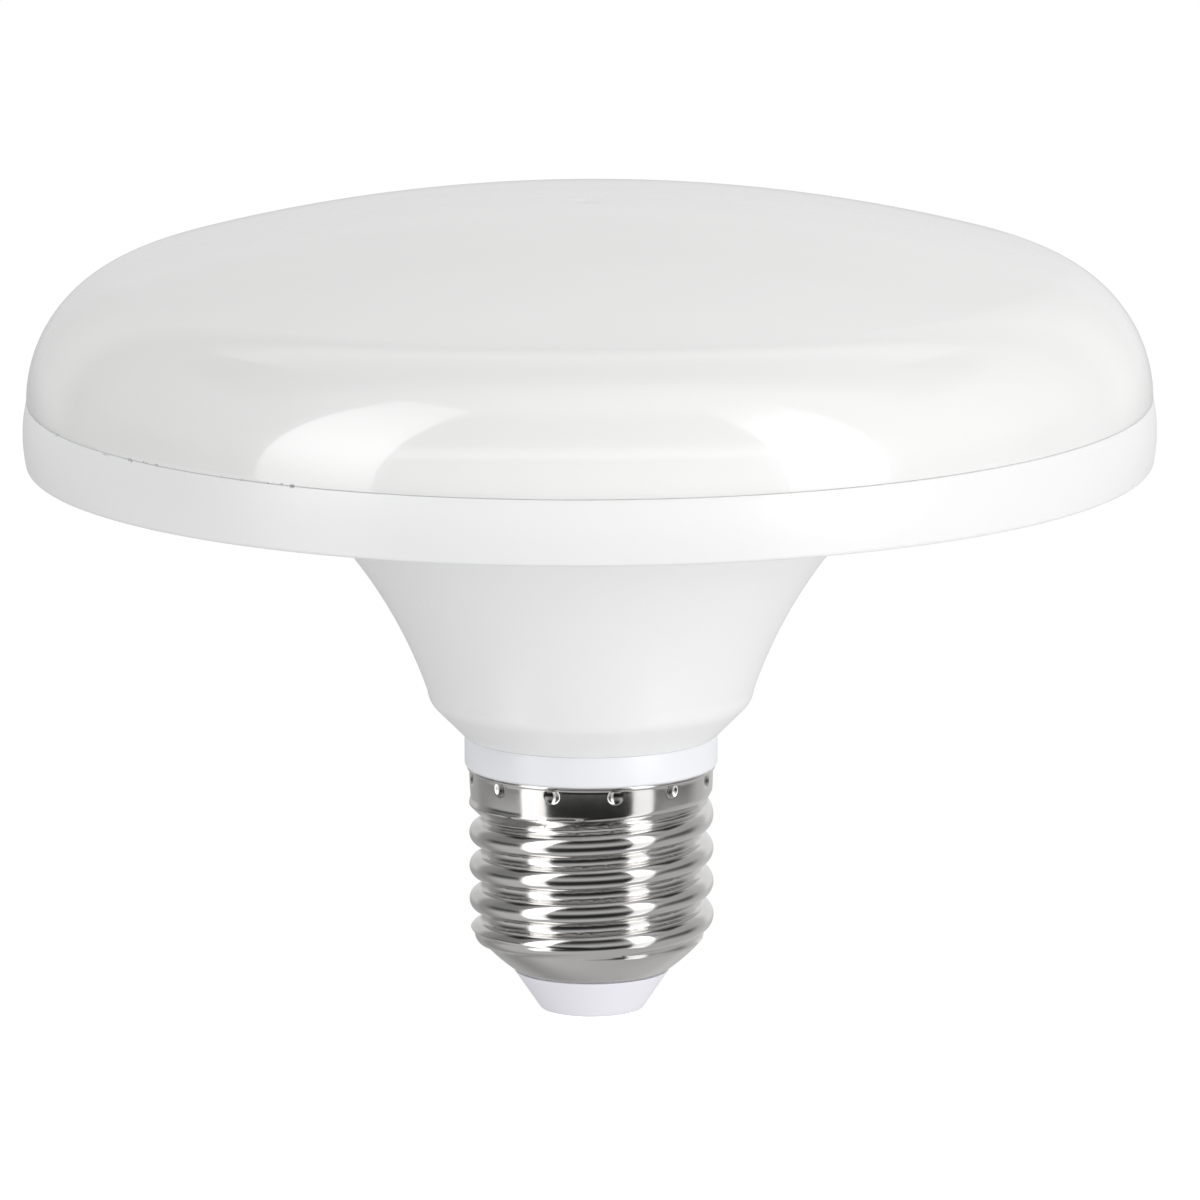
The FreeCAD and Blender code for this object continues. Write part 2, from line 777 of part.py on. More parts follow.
def transformer_core():
    """Ferrite frame with a middle leg, its back flat on the board."""
    left, right = "-core_wide / 2", "core_wide / 2"
    near, far = "board_face", "board_face + core_deep"
    top = f"{CORE_LOW} + core_high"
    legs = [
        block("core_bottom", ((left, right), (near, far), (CORE_LOW, f"{CORE_LOW} + core_leg"))),
        block("core_top", ((left, right), (near, far), (f"{top} - core_leg", top))),
        block("core_left", ((left, f"{left} + core_leg / 2"), (near, far), (CORE_LOW, top))),
        block("core_right", ((f"{right} - core_leg / 2", right), (near, far), (CORE_LOW, top))),
        block("core_middle", (
            ("-core_leg / 2", "core_leg / 2"),
            (f"{near} + (core_deep - core_leg) / 2", f"{near} + (core_deep + core_leg) / 2"),
            (CORE_LOW, top),
        )),
    ]
    return join("transformer_core", legs)


def transformer_coil():
    """Winding round the core's middle leg."""
    gap = "seat_gap"
    outer = round_bar("coil_outer", ("0", "board_face + core_deep / 2", f"{CORE_LOW} + core_leg + {gap}"),
                      "coil_radius", f"core_high - 2 * core_leg - 2 * {gap}")
    hole = block("coil_hole", ((f"-(core_leg / 2 + {gap})", f"core_leg / 2 + {gap}"),
                               (f"board_face + (core_deep - core_leg) / 2 - {gap}",
                                f"board_face + (core_deep + core_leg) / 2 + {gap}"),
                               (CORE_LOW, f"{CORE_LOW} + core_high")))
    coil = doc.addObject("Part::Cut", "transformer_coil")
    coil.Base = outer
    coil.Tool = hole
    return as_node(coil, "transformer_coil")


def film_capacitor():
    """Boxed capacitor at the foot of the board's back."""
    return as_node(block("film_box", (
        ("film_cap_across - film_cap_wide / 2", "film_cap_across + film_cap_wide / 2"),
        ("-(board_face + film_cap_deep)", "-board_face"),
        ("board_low + film_cap_rise", "board_low + film_cap_rise + film_cap_high"),
    )), "film_capacitor")


def varistor():
    """Round surge absorber flat on the board's front."""
    return as_node(round_bar("varistor_disc", ("varistor_across", "board_face", "board_low + varistor_rise"),
                             "varistor_radius", "varistor_thick", Vector(0, 1, 0)), "varistor")


def fusible_resistor():
    """Fusible resistor lying along the front of the board beside the varistor."""
    return as_node(round_bar("fuse_body", ("fuse_across", "board_face + fuse_radius + seat_gap",
                                           "board_low + fuse_rise"),
                             "fuse_radius", "fuse_long"), "fusible_resistor")


def output_choke():
    """Drum core standing on the back of the board, with a waist for its winding."""
    centre = ("choke_across", "-board_face", "board_low + choke_rise")
    base = round_bar("choke_base", centre, "choke_radius", "choke_flange", Vector(0, -1, 0))
    waist = round_bar("choke_waist", centre, "choke_radius - choke_groove", "choke_high", Vector(0, -1, 0))
    far = (centre[0], "-board_face - choke_high + choke_flange", centre[2])
    cap = round_bar("choke_cap", far, "choke_radius", "choke_flange", Vector(0, -1, 0))
    return join("output_choke", [base, waist, cap])


def flat_package(label, x, z, wide, long, deep, legs, both_faces):
    """Moulded package on the board's back with rows of legs at its two sides."""
    low = f"-(board_face + {deep})"
    pieces = [block(f"{label}_body", ((f"{x} - {wide} / 2", f"{x} + {wide} / 2"), (low, "-board_face"),
                                      (f"{z} - {long} / 2", f"{z} + {long} / 2")))]
    for index in range(legs):
        middle = f"{z} + {index - (legs - 1) / 2} * leg_pitch * {both_faces}"
        pieces.append(block(f"{label}_leg_{index}", (
            (f"{x} - {wide} / 2 - leg_reach", f"{x} + {wide} / 2 + leg_reach"),
            ("-board_face - leg_thick", "-board_face"),
            (f"{middle} - leg_wide / 2", f"{middle} + leg_wide / 2"),
        )))
    return join(label, pieces)


def bridge_rectifier():
    """Bridge rectifier with two legs a side."""
    return flat_package("bridge_rectifier", "bridge_across", "board_low + bridge_rise",
                        "bridge_wide", "bridge_long", "bridge_deep", 2, 2)


def driver_chip():
    """Driver chip with four legs a side."""
    return flat_package("driver_chip", "chip_across", "board_low + chip_rise",
                        "chip_wide", "chip_long", "chip_deep", 4, 1)


def rectifier_diode():
    """Output diode, its two tabs at its ends."""
    return flat_package("rectifier_diode", "diode_across", "board_low + diode_rise",
                        "diode_long", "diode_wide", "diode_deep", 1, 1)


def chip_resistors():
    """Row of small resistors up the board's front, each a solid of its own."""
    body = new_body("chip_resistors")
    outline = new_sketch(body, "chip_outline", "XZ_Plane")
    bind(outline, "AttachmentOffset.Base.z", "-board_face")
    low = "board_low + resistor_rise"
    draw_box(outline, "resistor_across - resistor_long / 2", "resistor_across + resistor_long / 2",
             low, f"{low} + resistor_wide")
    chip = raise_pad(body, "chip", outline, "resistor_deep")
    chip.Reversed = True
    doc.recompute()
    pattern = body.newObject("PartDesign::LinearPattern", "chips")
    pattern.Originals = [chip]
    pattern.Direction = (next(f for f in body.Origin.OriginFeatures if f.Role == "Z_Axis"), [""])
    bind(pattern, "Length", "resistor_pitch * (resistor_count - 1)")
    bind(pattern, "Occurrences", "resistor_count")
    body.Tip = pattern
    return body


def lead(label, points, radius, bend):
    """Round lead through points, its straight runs joined by arcs tangent to both."""
    edges = []
    start = points[0]
    for before, corner, after in zip(points, points[1:], points[2:]):
        into = (corner - before).normalize()
        out = (after - corner).normalize()
        half_turn = into.getAngle(out) / 2
        trim = bend * math.tan(half_turn)
        middle = corner + (out - into).normalize() * bend * (1 / math.cos(half_turn) - 1)
        edges.append(Part.LineSegment(start, corner - into * trim).toShape())
        edges.append(Part.Arc(corner - into * trim, middle, corner + out * trim).toShape())
        start = corner + out * trim
    edges.append(Part.LineSegment(start, points[-1]).toShape())
    path = Part.Wire(edges)
    section = Part.Wire([Part.Circle(points[0], points[1] - points[0], radius).toShape()])
    feature = doc.addObject("Part::Feature", label)
    feature.Label = label
    feature.Shape = path.makePipeShell([section], True, False)
    print(label, "length", round(path.Length, 2), "volume ratio",
          round(feature.Shape.Volume / (math.pi * radius ** 2 * path.Length), 4))
    return feature


def supply_leads():
    """Live lead from the contact's pin and neutral lead round the spigot's lower edge."""
    radius = size("supply_lead_radius")
    beside = size("board_face") + size("seat_gap") + radius
    pin_top = size("contact_drop") + size("contact_pin_length")
    tail = size("board_low") + size("tail_length")
    rise = size("board_low") - pin_top
    live = [
        Vector(0, 0, pin_top),
        Vector(0, 0, pin_top + rise * size("live_bend_start")),
        Vector(0, beside, pin_top + rise * size("live_bend_end")),
        Vector(0, beside, tail),
    ]
    groove = -(size("spigot_radius") - radius)
    under = size("spigot_low") - radius - size("lead_clear")
    neutral = [
        Vector(0, -beside, tail),
        Vector(0, -beside, under),
        Vector(0, groove, under),
        Vector(0, groove, size("skirt_step") - size("notch_stop") - size("neutral_drop")),
    ]
    return [
        lead("live_wire", live, radius, size("supply_bend")),
        lead("neutral_wire", neutral, radius, size("supply_bend")),
    ]


def led_leads():
    """Two leads from the driver board up through the wire hole and into the connector."""
    radius = size("lead_radius")
    beside = size("board_face") + size("seat_gap") + radius
    top = size("led_board_top") + size("connector_high") / 2
    mouth = size("spreader_hole") + size("connector_inset")
    low = size("board_low") + size("board_high") - size("lead_tail")
    leads = []
    for name, side in (("led_wire_positive", -1), ("led_wire_negative", 1)):
        x = size("lead_across") + side * size("lead_pitch") / 2
        points = [Vector(x, beside, low), Vector(x, beside, top), Vector(x, mouth, top)]
        leads.append(lead(name, points, radius, size("lead_bend")))
    return leads


def write_parts(nodes):
    """Checks every object, then writes one STEP file per node."""
    for thing in doc.Objects:
        if {"Invalid", "Error"} & set(thing.State):
            raise RuntimeError(f"{thing.Name} failed: {thing.State}")
    for node in nodes:
        if node.Shape.isNull() or not node.Shape.isValid() or not node.Shape.Solids:
            raise RuntimeError(f"{node.Label} has no valid solid")
    os.makedirs("parts", exist_ok=True)
    for node in nodes:
        node.Shape.exportStep(f"parts/{node.Label}.step")
        print(node.Label, len(node.Shape.Solids), "solids", round(node.Shape.Volume, 1), "mm3")


fill_sheet()
pieces = [
    screw_shell(),
    cap_insulator(),
    centre_contact(),
    driver_case(),
    housing(),
    diffuser(),
    heat_spreader(),
    led_board(),
    led_chips(),
    board_screws(),
    led_connector(),
    driver_board(),
    input_capacitor(),
    output_capacitor(),
    transformer_core(),
    transformer_coil(),
    film_capacitor(),
    varistor(),
    fusible_resistor(),
    output_choke(),
    bridge_rectifier(),
    driver_chip(),
    rectifier_diode(),
    chip_resistors(),
    *supply_leads(),
    *led_leads(),
]
doc.recompute()
write_parts(pieces)
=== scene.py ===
"""LED disc lamp with a 27 mm screw cap, dressed and lit for a studio picture.

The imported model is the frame: metres, the origin at the tip of the centre contact, +Z up the
lamp's axis and -Y towards the camera. Sizes in the classes below are in millimetres.
"""

import logging
import math
from dataclasses import dataclass, field
from enum import Enum

import bpy
import numpy as np
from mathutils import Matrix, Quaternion, Vector


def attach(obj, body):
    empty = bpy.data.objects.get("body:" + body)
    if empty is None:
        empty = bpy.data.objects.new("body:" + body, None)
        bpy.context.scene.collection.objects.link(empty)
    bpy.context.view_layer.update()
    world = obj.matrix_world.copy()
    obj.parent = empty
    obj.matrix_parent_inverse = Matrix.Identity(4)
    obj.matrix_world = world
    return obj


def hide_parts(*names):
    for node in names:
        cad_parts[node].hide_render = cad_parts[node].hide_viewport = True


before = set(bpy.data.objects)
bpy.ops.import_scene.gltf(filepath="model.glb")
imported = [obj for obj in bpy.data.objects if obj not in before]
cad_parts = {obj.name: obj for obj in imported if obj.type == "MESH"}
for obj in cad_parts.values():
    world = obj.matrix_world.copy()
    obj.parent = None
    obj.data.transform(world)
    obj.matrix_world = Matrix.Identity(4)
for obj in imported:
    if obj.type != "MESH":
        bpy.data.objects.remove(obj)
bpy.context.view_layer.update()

LOG = logging.getLogger("disc_lamp")
MM = 0.001
BODY = "root"
Colour = tuple[float, float, float]
Socket = bpy.types.NodeSocket


class Side(Enum):
    """Which side of its chord an arc has its centre on, seen along the outline."""

    LEFT = 1
    RIGHT = -1


@dataclass
class Outline:
    """Half outline of a turned piece: points of (radius, height) in millimetres."""

    points: list[tuple[float, float]] = field(default_factory=list)

    def to(self, radius: float, height: float, steps: int = 1) -> "Outline":
        """Adds a straight run.

        Args:
            radius: Radius of its far end.
            height: Height of its far end.
            steps: How many equal edges the run has.

        Returns:
            The outline itself.
        """
        if not self.points:
            self.points.append((radius, height))
            return self
        start = self.points[-1]
        for share in np.linspace(0.0, 1.0, steps + 1)[1:]:
            self.points.append((start[0] + (radius - start[0]) * share, start[1] + (height - start[1]) * share))
        return self

    def arc(self, radius: float, height: float, bend: float, side: Side, steps: int) -> "Outline":
        """Adds an arc.

        Args:
            radius: Radius of its far end.
            height: Height of its far end.
            bend: The arc's own radius.
            side: The side its centre is on.
            steps: How many edges it has.

        Returns:
            The outline itself.
        """
        start, end = Vector(self.points[-1]), Vector((radius, height))
        half = (end - start) / 2
        normal = Vector((-half.y, half.x)).normalized() * side.value
        centre = start + half + normal * math.sqrt(max(bend ** 2 - half.length_squared, 0.0))
        first, last = (math.atan2(*(p - centre).yx) for p in (start, end))
        sweep = (last - first) * side.value % (2 * math.pi) * side.value
        for share in np.linspace(0.0, 1.0, steps + 1)[1:]:
            angle = first + sweep * share
            self.points.append((centre.x + bend * math.cos(angle), centre.y + bend * math.sin(angle)))
        self.points[-1] = (radius, height)
        return self


def ease(share: np.ndarray) -> np.ndarray:
    """Eases a share in and out between 0 and 1.

    Args:
        share: The shares; those outside are taken as 0 or 1.

    Returns:
        The eased shares.
    """
    share = np.clip(share, 0.0, 1.0)
    return share * share * (3.0 - 2.0 * share)


def pick(piece: bpy.types.Object) -> None:
    """Makes a piece the only one selected, and active.

    Args:
        piece: The piece to work on.
    """
    bpy.ops.object.select_all(action="DESELECT")
    piece.select_set(True)
    bpy.context.view_layer.objects.active = piece


def spin_piece(name: str, outline: Outline, steps: int = 256) -> bpy.types.Object:
    """Draws an outline from one point by extruding it, and spins it about the lamp's axis.

    Args:
        name: The piece's name.
        outline: Its half outline; one that ends where it starts makes a ring.
        steps: How many faces go round.

    Returns:
        The piece, its place in its mesh and its faces outwards.
    """
    spots = [Vector((radius, 0.0, height)) * MM for radius, height in outline.points]
    bpy.ops.object.select_all(action="DESELECT")
    bpy.ops.mesh.primitive_plane_add(size=MM, location=spots[0])
    piece = bpy.context.object
    piece.name = piece.data.name = name
    bpy.ops.object.mode_set(mode="EDIT")
    bpy.ops.mesh.select_mode(type="VERT")
    bpy.ops.mesh.select_all(action="SELECT")
    bpy.ops.mesh.merge(type="CENTER")
    for before, after in zip(spots, spots[1:]):
        bpy.ops.mesh.extrude_vertices_move(TRANSFORM_OT_translate={"value": after - before})
    bpy.ops.mesh.select_all(action="SELECT")
    bpy.ops.mesh.spin(steps=steps, angle=2 * math.pi, use_auto_merge=True, center=(0, 0, 0), axis=(0, 0, 1))
    bpy.ops.mesh.select_all(action="SELECT")
    bpy.ops.mesh.remove_doubles(threshold=0.002 * MM)
    bpy.ops.mesh.normals_make_consistent(inside=False)
    bpy.ops.object.mode_set(mode="OBJECT")
    bpy.ops.object.transform_apply(location=True, rotation=False, scale=False)
    return piece


def round_edges(piece: bpy.types.Object, width: float, segments: int = 3, angle: float = 28.0) -> None:
    """Rounds a piece's sharp edges and smooths the rest.

    Args:
        piece: The piece.
        width: Width of the rounding in millimetres.
        segments: How many faces go across it.
        angle: Edges sharper than this, in degrees, are rounded.
    """
    pick(piece)
    bevel = piece.modifiers.new("rounded edges", "BEVEL")
    bevel.width = width * MM
    bevel.segments = segments
    bevel.limit_method = "ANGLE"
    bevel.angle_limit = math.radians(angle)
    bevel.use_clamp_overlap = True
    bpy.ops.object.modifier_apply(modifier=bevel.name)
    bpy.ops.object.shade_smooth_by_angle(angle=math.radians(angle + 4.0))


def copy_node(node: str, width: float) -> bpy.types.Object:
    """Copies a CAD node as a joined mesh with rounded edges.

    Args:
        node: The node's name.
        width: Width of the rounding in millimetres.

    Returns:
        The new piece.
    """
    piece = bpy.data.objects.new(f"{node}_piece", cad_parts[node].data.copy())
    bpy.context.scene.collection.objects.link(piece)
    pick(piece)
    bpy.ops.object.mode_set(mode="EDIT")
    bpy.ops.mesh.select_all(action="SELECT")
    bpy.ops.mesh.remove_doubles(threshold=0.002 * MM)
    bpy.ops.mesh.dissolve_limited(angle_limit=math.radians(0.5))
    bpy.ops.object.mode_set(mode="OBJECT")
    round_edges(piece, width, segments=2)
    return piece


class Bench:
    """A node tree being wired."""

    def __init__(self, tree: bpy.types.NodeTree) -> None:
        """Clears the tree."""
        self.tree = tree
        tree.nodes.clear()

    def add(self, kind: str, **settings: object) -> bpy.types.Node:
        """Adds a node.

        Args:
            kind: Its type, without the ShaderNode in front unless it is a group's node.
            settings: Its properties by name, and its inputs by name with _ for a space.

        Returns:
            The node.
        """
        node = self.tree.nodes.new(kind if kind.startswith("Node") else f"ShaderNode{kind}")
        for name, value in settings.items():
            if hasattr(node, name):
                setattr(node, name, value)
            else:
                node.inputs[name.replace("_", " ")].default_value = value
        return node

    def wire(self, source: Socket, target: Socket) -> None:
        """Links two sockets."""
        self.tree.links.new(source, target)

    def math(self, operation: str, first: Socket | float, second: Socket | float = 0.0) -> Socket:
        """Adds a Math node.

        Args:
            operation: Its operation.
            first: A socket or a number.
            second: A socket or a number.

        Returns:
            Its result.
        """
        node = self.add("Math", operation=operation)
        for spot, value in zip(node.inputs, (first, second)):
            if isinstance(value, (int, float)):
                spot.default_value = value
            else:
                self.wire(value, spot)
        return node.outputs[0]

    def ramp(self, source: Socket, low: float, high: float, to_low: float = 0.0,
             to_high: float = 1.0) -> Socket:
        """Adds a smooth Map Range node.

        Args:
            source: The value to map.
            low: Where the range starts.
            high: Where it ends.
            to_low: The result at its start.
            to_high: The result at its end.

        Returns:
            Its result.
        """
        node = self.add("MapRange", interpolation_type="SMOOTHSTEP", From_Min=low, From_Max=high,
                        To_Min=to_low, To_Max=to_high)
        self.wire(source, node.inputs["Value"])
        return node.outputs["Result"]

    def blend(self, share: Socket, first: Socket | float, second: Socket | float) -> Socket:
        """Blends two values.

        Args:
            share: The second value's share.
            first: A socket or a number.
            second: A socket or a number.

        Returns:
            The blend.
        """
        rest = self.math("MULTIPLY", self.math("SUBTRACT", 1.0, share), first)
        return self.math("ADD", rest, self.math("MULTIPLY", share, second))

    def noise(self, place: Socket, scale: float, detail: float = 3.0) -> Socket:
        """Adds a noise texture and returns its grey value."""
        node = self.add("TexNoise", Scale=scale, Detail=detail)
        self.wire(place, node.inputs["Vector"])
        return node.outputs["Fac"]

    def tint(self, factor: Socket, first: Colour | Socket, second: Colour | Socket) -> Socket:
        """Mixes two colours.

        Args:
            factor: Share of the second.
            first: A colour or a socket.
            second: A colour or a socket.

        Returns:
            The mixed colour.
        """
        node = self.add("Mix", data_type="RGBA")
        self.wire(factor, node.inputs["Factor"])
        for spot, value in ((node.inputs[6], first), (node.inputs[7], second)):
            if isinstance(value, tuple):
                spot.default_value = (*value, 1.0)
            else:
                self.wire(value, spot)
        return node.outputs[2]


class SkinGroup:
    """Node group for any moulded, plated or lacquered skin: uneven tone, uneven gloss and fine bumps."""

    NAME = "fine skin"

    @classmethod
    def tree(cls) -> bpy.types.NodeTree:
        """The group, built the first time it is asked for."""
        found = bpy.data.node_groups.get(cls.NAME)
        if found:
            return found
        tree = bpy.data.node_groups.new(cls.NAME, "ShaderNodeTree")
        for name, value in (("Patch Scale", 60.0), ("Tone Spread", 0.02), ("Roughness", 0.3),
                            ("Roughness Spread", 0.05), ("Grain Scale", 900.0), ("Grain Height", 0.00001)):
            socket = tree.interface.new_socket(name, in_out="INPUT", socket_type="NodeSocketFloat")
            socket.default_value = value
        tree.interface.new_socket("Tone", in_out="OUTPUT", socket_type="NodeSocketFloat")
        tree.interface.new_socket("Roughness", in_out="OUTPUT", socket_type="NodeSocketFloat")
        tree.interface.new_socket("Normal", in_out="OUTPUT", socket_type="NodeSocketVector")
        bench = Bench(tree)
        given, result = bench.add("NodeGroupInput"), bench.add("NodeGroupOutput")
        place = bench.add("TexCoord").outputs["Object"]
        patches = bench.add("TexNoise", Detail=4.0)
        grain = bench.add("TexNoise", Detail=2.0)
        for texture, scale in ((patches, "Patch Scale"), (grain, "Grain Scale")):
            bench.wire(place, texture.inputs["Vector"])
            bench.wire(given.outputs[scale], texture.inputs["Scale"])
        centred = bench.math("SUBTRACT", patches.outputs["Fac"], 0.5)
        tone = bench.math("MULTIPLY", centred, given.outputs["Tone Spread"])
        bench.wire(bench.math("ADD", bench.math("MULTIPLY", tone, 4.0), 1.0), result.inputs["Tone"])
        haze = bench.math("MULTIPLY", bench.math("ADD", centred, bench.math(
            "SUBTRACT", grain.outputs["Fac"], 0.5)), given.outputs["Roughness Spread"])
        bench.wire(bench.math("ADD", haze, given.outputs["Roughness"]), result.inputs["Roughness"])
        bump = bench.add("Bump", Strength=1.0)
        bench.wire(given.outputs["Grain Height"], bump.inputs["Distance"])
        bench.wire(grain.outputs["Fac"], bump.inputs["Height"])
        bench.wire(bump.outputs["Normal"], result.inputs["Normal"])
        return tree


class SeamGroup:
    """Node group for the seam between dome and rim: a mask of small irregular chips along it."""

    NAME = "seam chips"

    @classmethod
    def tree(cls) -> bpy.types.NodeTree:
        """The group, built the first time it is asked for."""
        found = bpy.data.node_groups.get(cls.NAME)
        if found:
            return found
        tree = bpy.data.node_groups.new(cls.NAME, "ShaderNodeTree")
        for name, value in (("Seam Height", 0.067), ("Reach", 0.0002), ("Left Edge", -0.03)):
            socket = tree.interface.new_socket(name, in_out="INPUT", socket_type="NodeSocketFloat")
            socket.default_value = value
        tree.interface.new_socket("Chips", in_out="OUTPUT", socket_type="NodeSocketFloat")
        bench = Bench(tree)
        given, result = bench.add("NodeGroupInput"), bench.add("NodeGroupOutput")
        place = bench.add("TexCoord").outputs["Object"]
        split = bench.add("SeparateXYZ")
        bench.wire(place, split.inputs[0])
        away = bench.math("ABSOLUTE", bench.math("SUBTRACT", split.outputs["Z"], given.outputs["Seam Height"]))
        near = bench.math("LESS_THAN", away, given.outputs["Reach"])
        specks = bench.ramp(bench.noise(place, 1500.0, 2.0), 0.56, 0.66)
        runs = bench.ramp(bench.noise(place, 90.0, 1.0), 0.45, 0.6)
        left = bench.math("LESS_THAN", split.outputs["X"], given.outputs["Left Edge"])
        mask = bench.math("MULTIPLY", bench.math("MULTIPLY", specks, runs), bench.math("MULTIPLY", near, left))
        bench.wire(mask, result.inputs["Chips"])
        return tree


@dataclass(frozen=True)
class Finish:
    """A finish: its colour, gloss and the unevenness of its skin."""

    name: str
    colour: Colour
    roughness: float = 0.35
    metallic: float = 0.0
    coat: float = 0.0
    patch_scale: float = 60.0
    tone_spread: float = 0.02
    roughness_spread: float = 0.06
    grain_scale: float = 900.0
    grain_height: float = 0.004

    def material(self) -> bpy.types.Material:
        """The finish as a material, built once.

        Returns:
            The material.
        """
        found = bpy.data.materials.get(self.name)
        if found:
            return found
        material = bpy.data.materials.new(self.name)
        material.use_nodes = True
        bench = Bench(material.node_tree)
        shader = bench.add("BsdfPrincipled", Metallic=self.metallic, Coat_Weight=self.coat)
        output = bench.add("OutputMaterial")
        bench.wire(shader.outputs["BSDF"], output.inputs["Surface"])
        skin = bench.add("Group", node_tree=SkinGroup.tree())
        for name, value in (("Patch Scale", self.patch_scale), ("Tone Spread", self.tone_spread),
                            ("Roughness", self.roughness), ("Roughness Spread", self.roughness_spread),
                            ("Grain Scale", self.grain_scale), ("Grain Height", self.grain_height * MM)):
            skin.inputs[name].default_value = value
        colour = self.paint(bench, skin)
        bench.wire(colour, shader.inputs["Base Color"])
        bench.wire(skin.outputs["Roughness"], shader.inputs["Roughness"])
        bench.wire(skin.outputs["Normal"], shader.inputs["Normal"])
        return material

    def paint(self, bench: Bench, skin: bpy.types.Node) -> Socket:
        """The colour over the surface: the plain colour times the skin's tone.

        Args:
            bench: The material's tree.
            skin: The skin group's node.

        Returns:
            The colour.
        """
        shade = bench.add("VectorMath", operation="SCALE")
        shade.inputs[0].default_value = self.colour
        bench.wire(skin.outputs["Tone"], shade.inputs["Scale"])
        return shade.outputs["Vector"]


@dataclass(frozen=True)
class SeamedPlastic(Finish):
    """Glossy plastic beside the seam, with chips in it."""

    chip_colour: Colour = (0.42, 0.42, 0.44)

    def paint(self, bench: Bench, skin: bpy.types.Node) -> Socket:
        """The plain paint with the seam's chips over it."""
        chips = bench.add("Group", node_tree=SeamGroup.tree())
        return bench.tint(chips.outputs["Chips"], super().paint(bench, skin), self.chip_colour)


@dataclass(frozen=True)
class BrightNickel(Finish):
    """Bright nickel plate on thin rolled sheet, with painted shade darkening its punch-mark pits."""

    pit_shade_colour: Colour = (0.30, 0.29, 0.28)
    pit_radius: float = 13.02
    band: tuple[float, float] = (25.0, 26.7)

    def paint(self, bench: Bench, skin: bpy.types.Node) -> Socket:
        """The plate's colour, with painted shade darkening it inside the punch marks."""
        split = bench.add("SeparateXYZ")
        bench.wire(bench.add("TexCoord").outputs["Object"], split.inputs[0])
        across = bench.math("SQRT", bench.math("ADD", bench.math("POWER", split.outputs["X"], 2.0),
                                               bench.math("POWER", split.outputs["Y"], 2.0)))
        deep = bench.ramp(across, (self.pit_radius - 0.3) * MM, self.pit_radius * MM, 1.0, 0.0)
        above = bench.math("GREATER_THAN", split.outputs["Z"], self.band[0] * MM)
        below = bench.math("LESS_THAN", split.outputs["Z"], self.band[1] * MM)
        inside = bench.math("MULTIPLY", deep, bench.math("MULTIPLY", above, below))
        # painted shade: the plate's colour is darkened inside the punch marks
        return bench.tint(inside, super().paint(bench, skin), self.pit_shade_colour)


class Plastic:
    """The lamp's plastics."""

    OPAL = SeamedPlastic("opal_dome", (0.825, 0.825, 0.82), roughness=0.14, coat=1.0, patch_scale=25.0,
                         tone_spread=0.006, roughness_spread=0.02, grain_scale=500.0, grain_height=0.0008)
    HOUSING = SeamedPlastic("white_housing", (0.82, 0.82, 0.825), roughness=0.27, coat=0.0, patch_scale=40.0,
                            tone_spread=0.008, roughness_spread=0.01, grain_scale=900.0, grain_height=0.0003)
    CASE = Finish("bluish_white_case", (0.82, 0.832, 0.862), roughness=0.32, patch_scale=90.0,
                  tone_spread=0.01, roughness_spread=0.04, grain_scale=1600.0, grain_height=0.0015)
    NOSE = Finish("lilac_white_nose", (0.79, 0.78, 0.84), roughness=0.34, patch_scale=150.0,
                  tone_spread=0.015, roughness_spread=0.05, grain_scale=1800.0, grain_height=0.002)


class Metal:
    """The lamp's metals."""

    NICKEL = BrightNickel("bright_nickel", (0.80, 0.79, 0.775), roughness=0.14, metallic=1.0, patch_scale=260.0,
                          tone_spread=0.02, roughness_spread=0.08, grain_scale=700.0, grain_height=0.004)
    CONTACT = Finish("tinned_contact", (0.72, 0.70, 0.66), roughness=0.3, metallic=1.0, patch_scale=500.0,
                     tone_spread=0.05, roughness_spread=0.15, grain_scale=2500.0, grain_height=0.01)
    ALUMINIUM = Finish("rolled_aluminium", (0.76, 0.76, 0.77), roughness=0.38, metallic=1.0, patch_scale=120.0,
                       tone_spread=0.02, roughness_spread=0.12, grain_scale=1500.0, grain_height=0.003)
    ZINC = Finish("zinc_plated_screw", (0.66, 0.67, 0.69), roughness=0.3, metallic=1.0, patch_scale=600.0,
                  tone_spread=0.04, roughness_spread=0.12, grain_scale=2500.0, grain_height=0.004)
    COPPER = Finish("enamelled_copper", (0.62, 0.27, 0.13), roughness=0.28, metallic=0.8, patch_scale=900.0,
                    tone_spread=0.06, roughness_spread=0.1, grain_scale=3200.0, grain_height=0.03)
    TINNED = Finish("tinned_wire", (0.68, 0.68, 0.69), roughness=0.32, metallic=1.0, patch_scale=700.0,
                    tone_spread=0.05, roughness_spread=0.12, grain_scale=2600.0, grain_height=0.005)


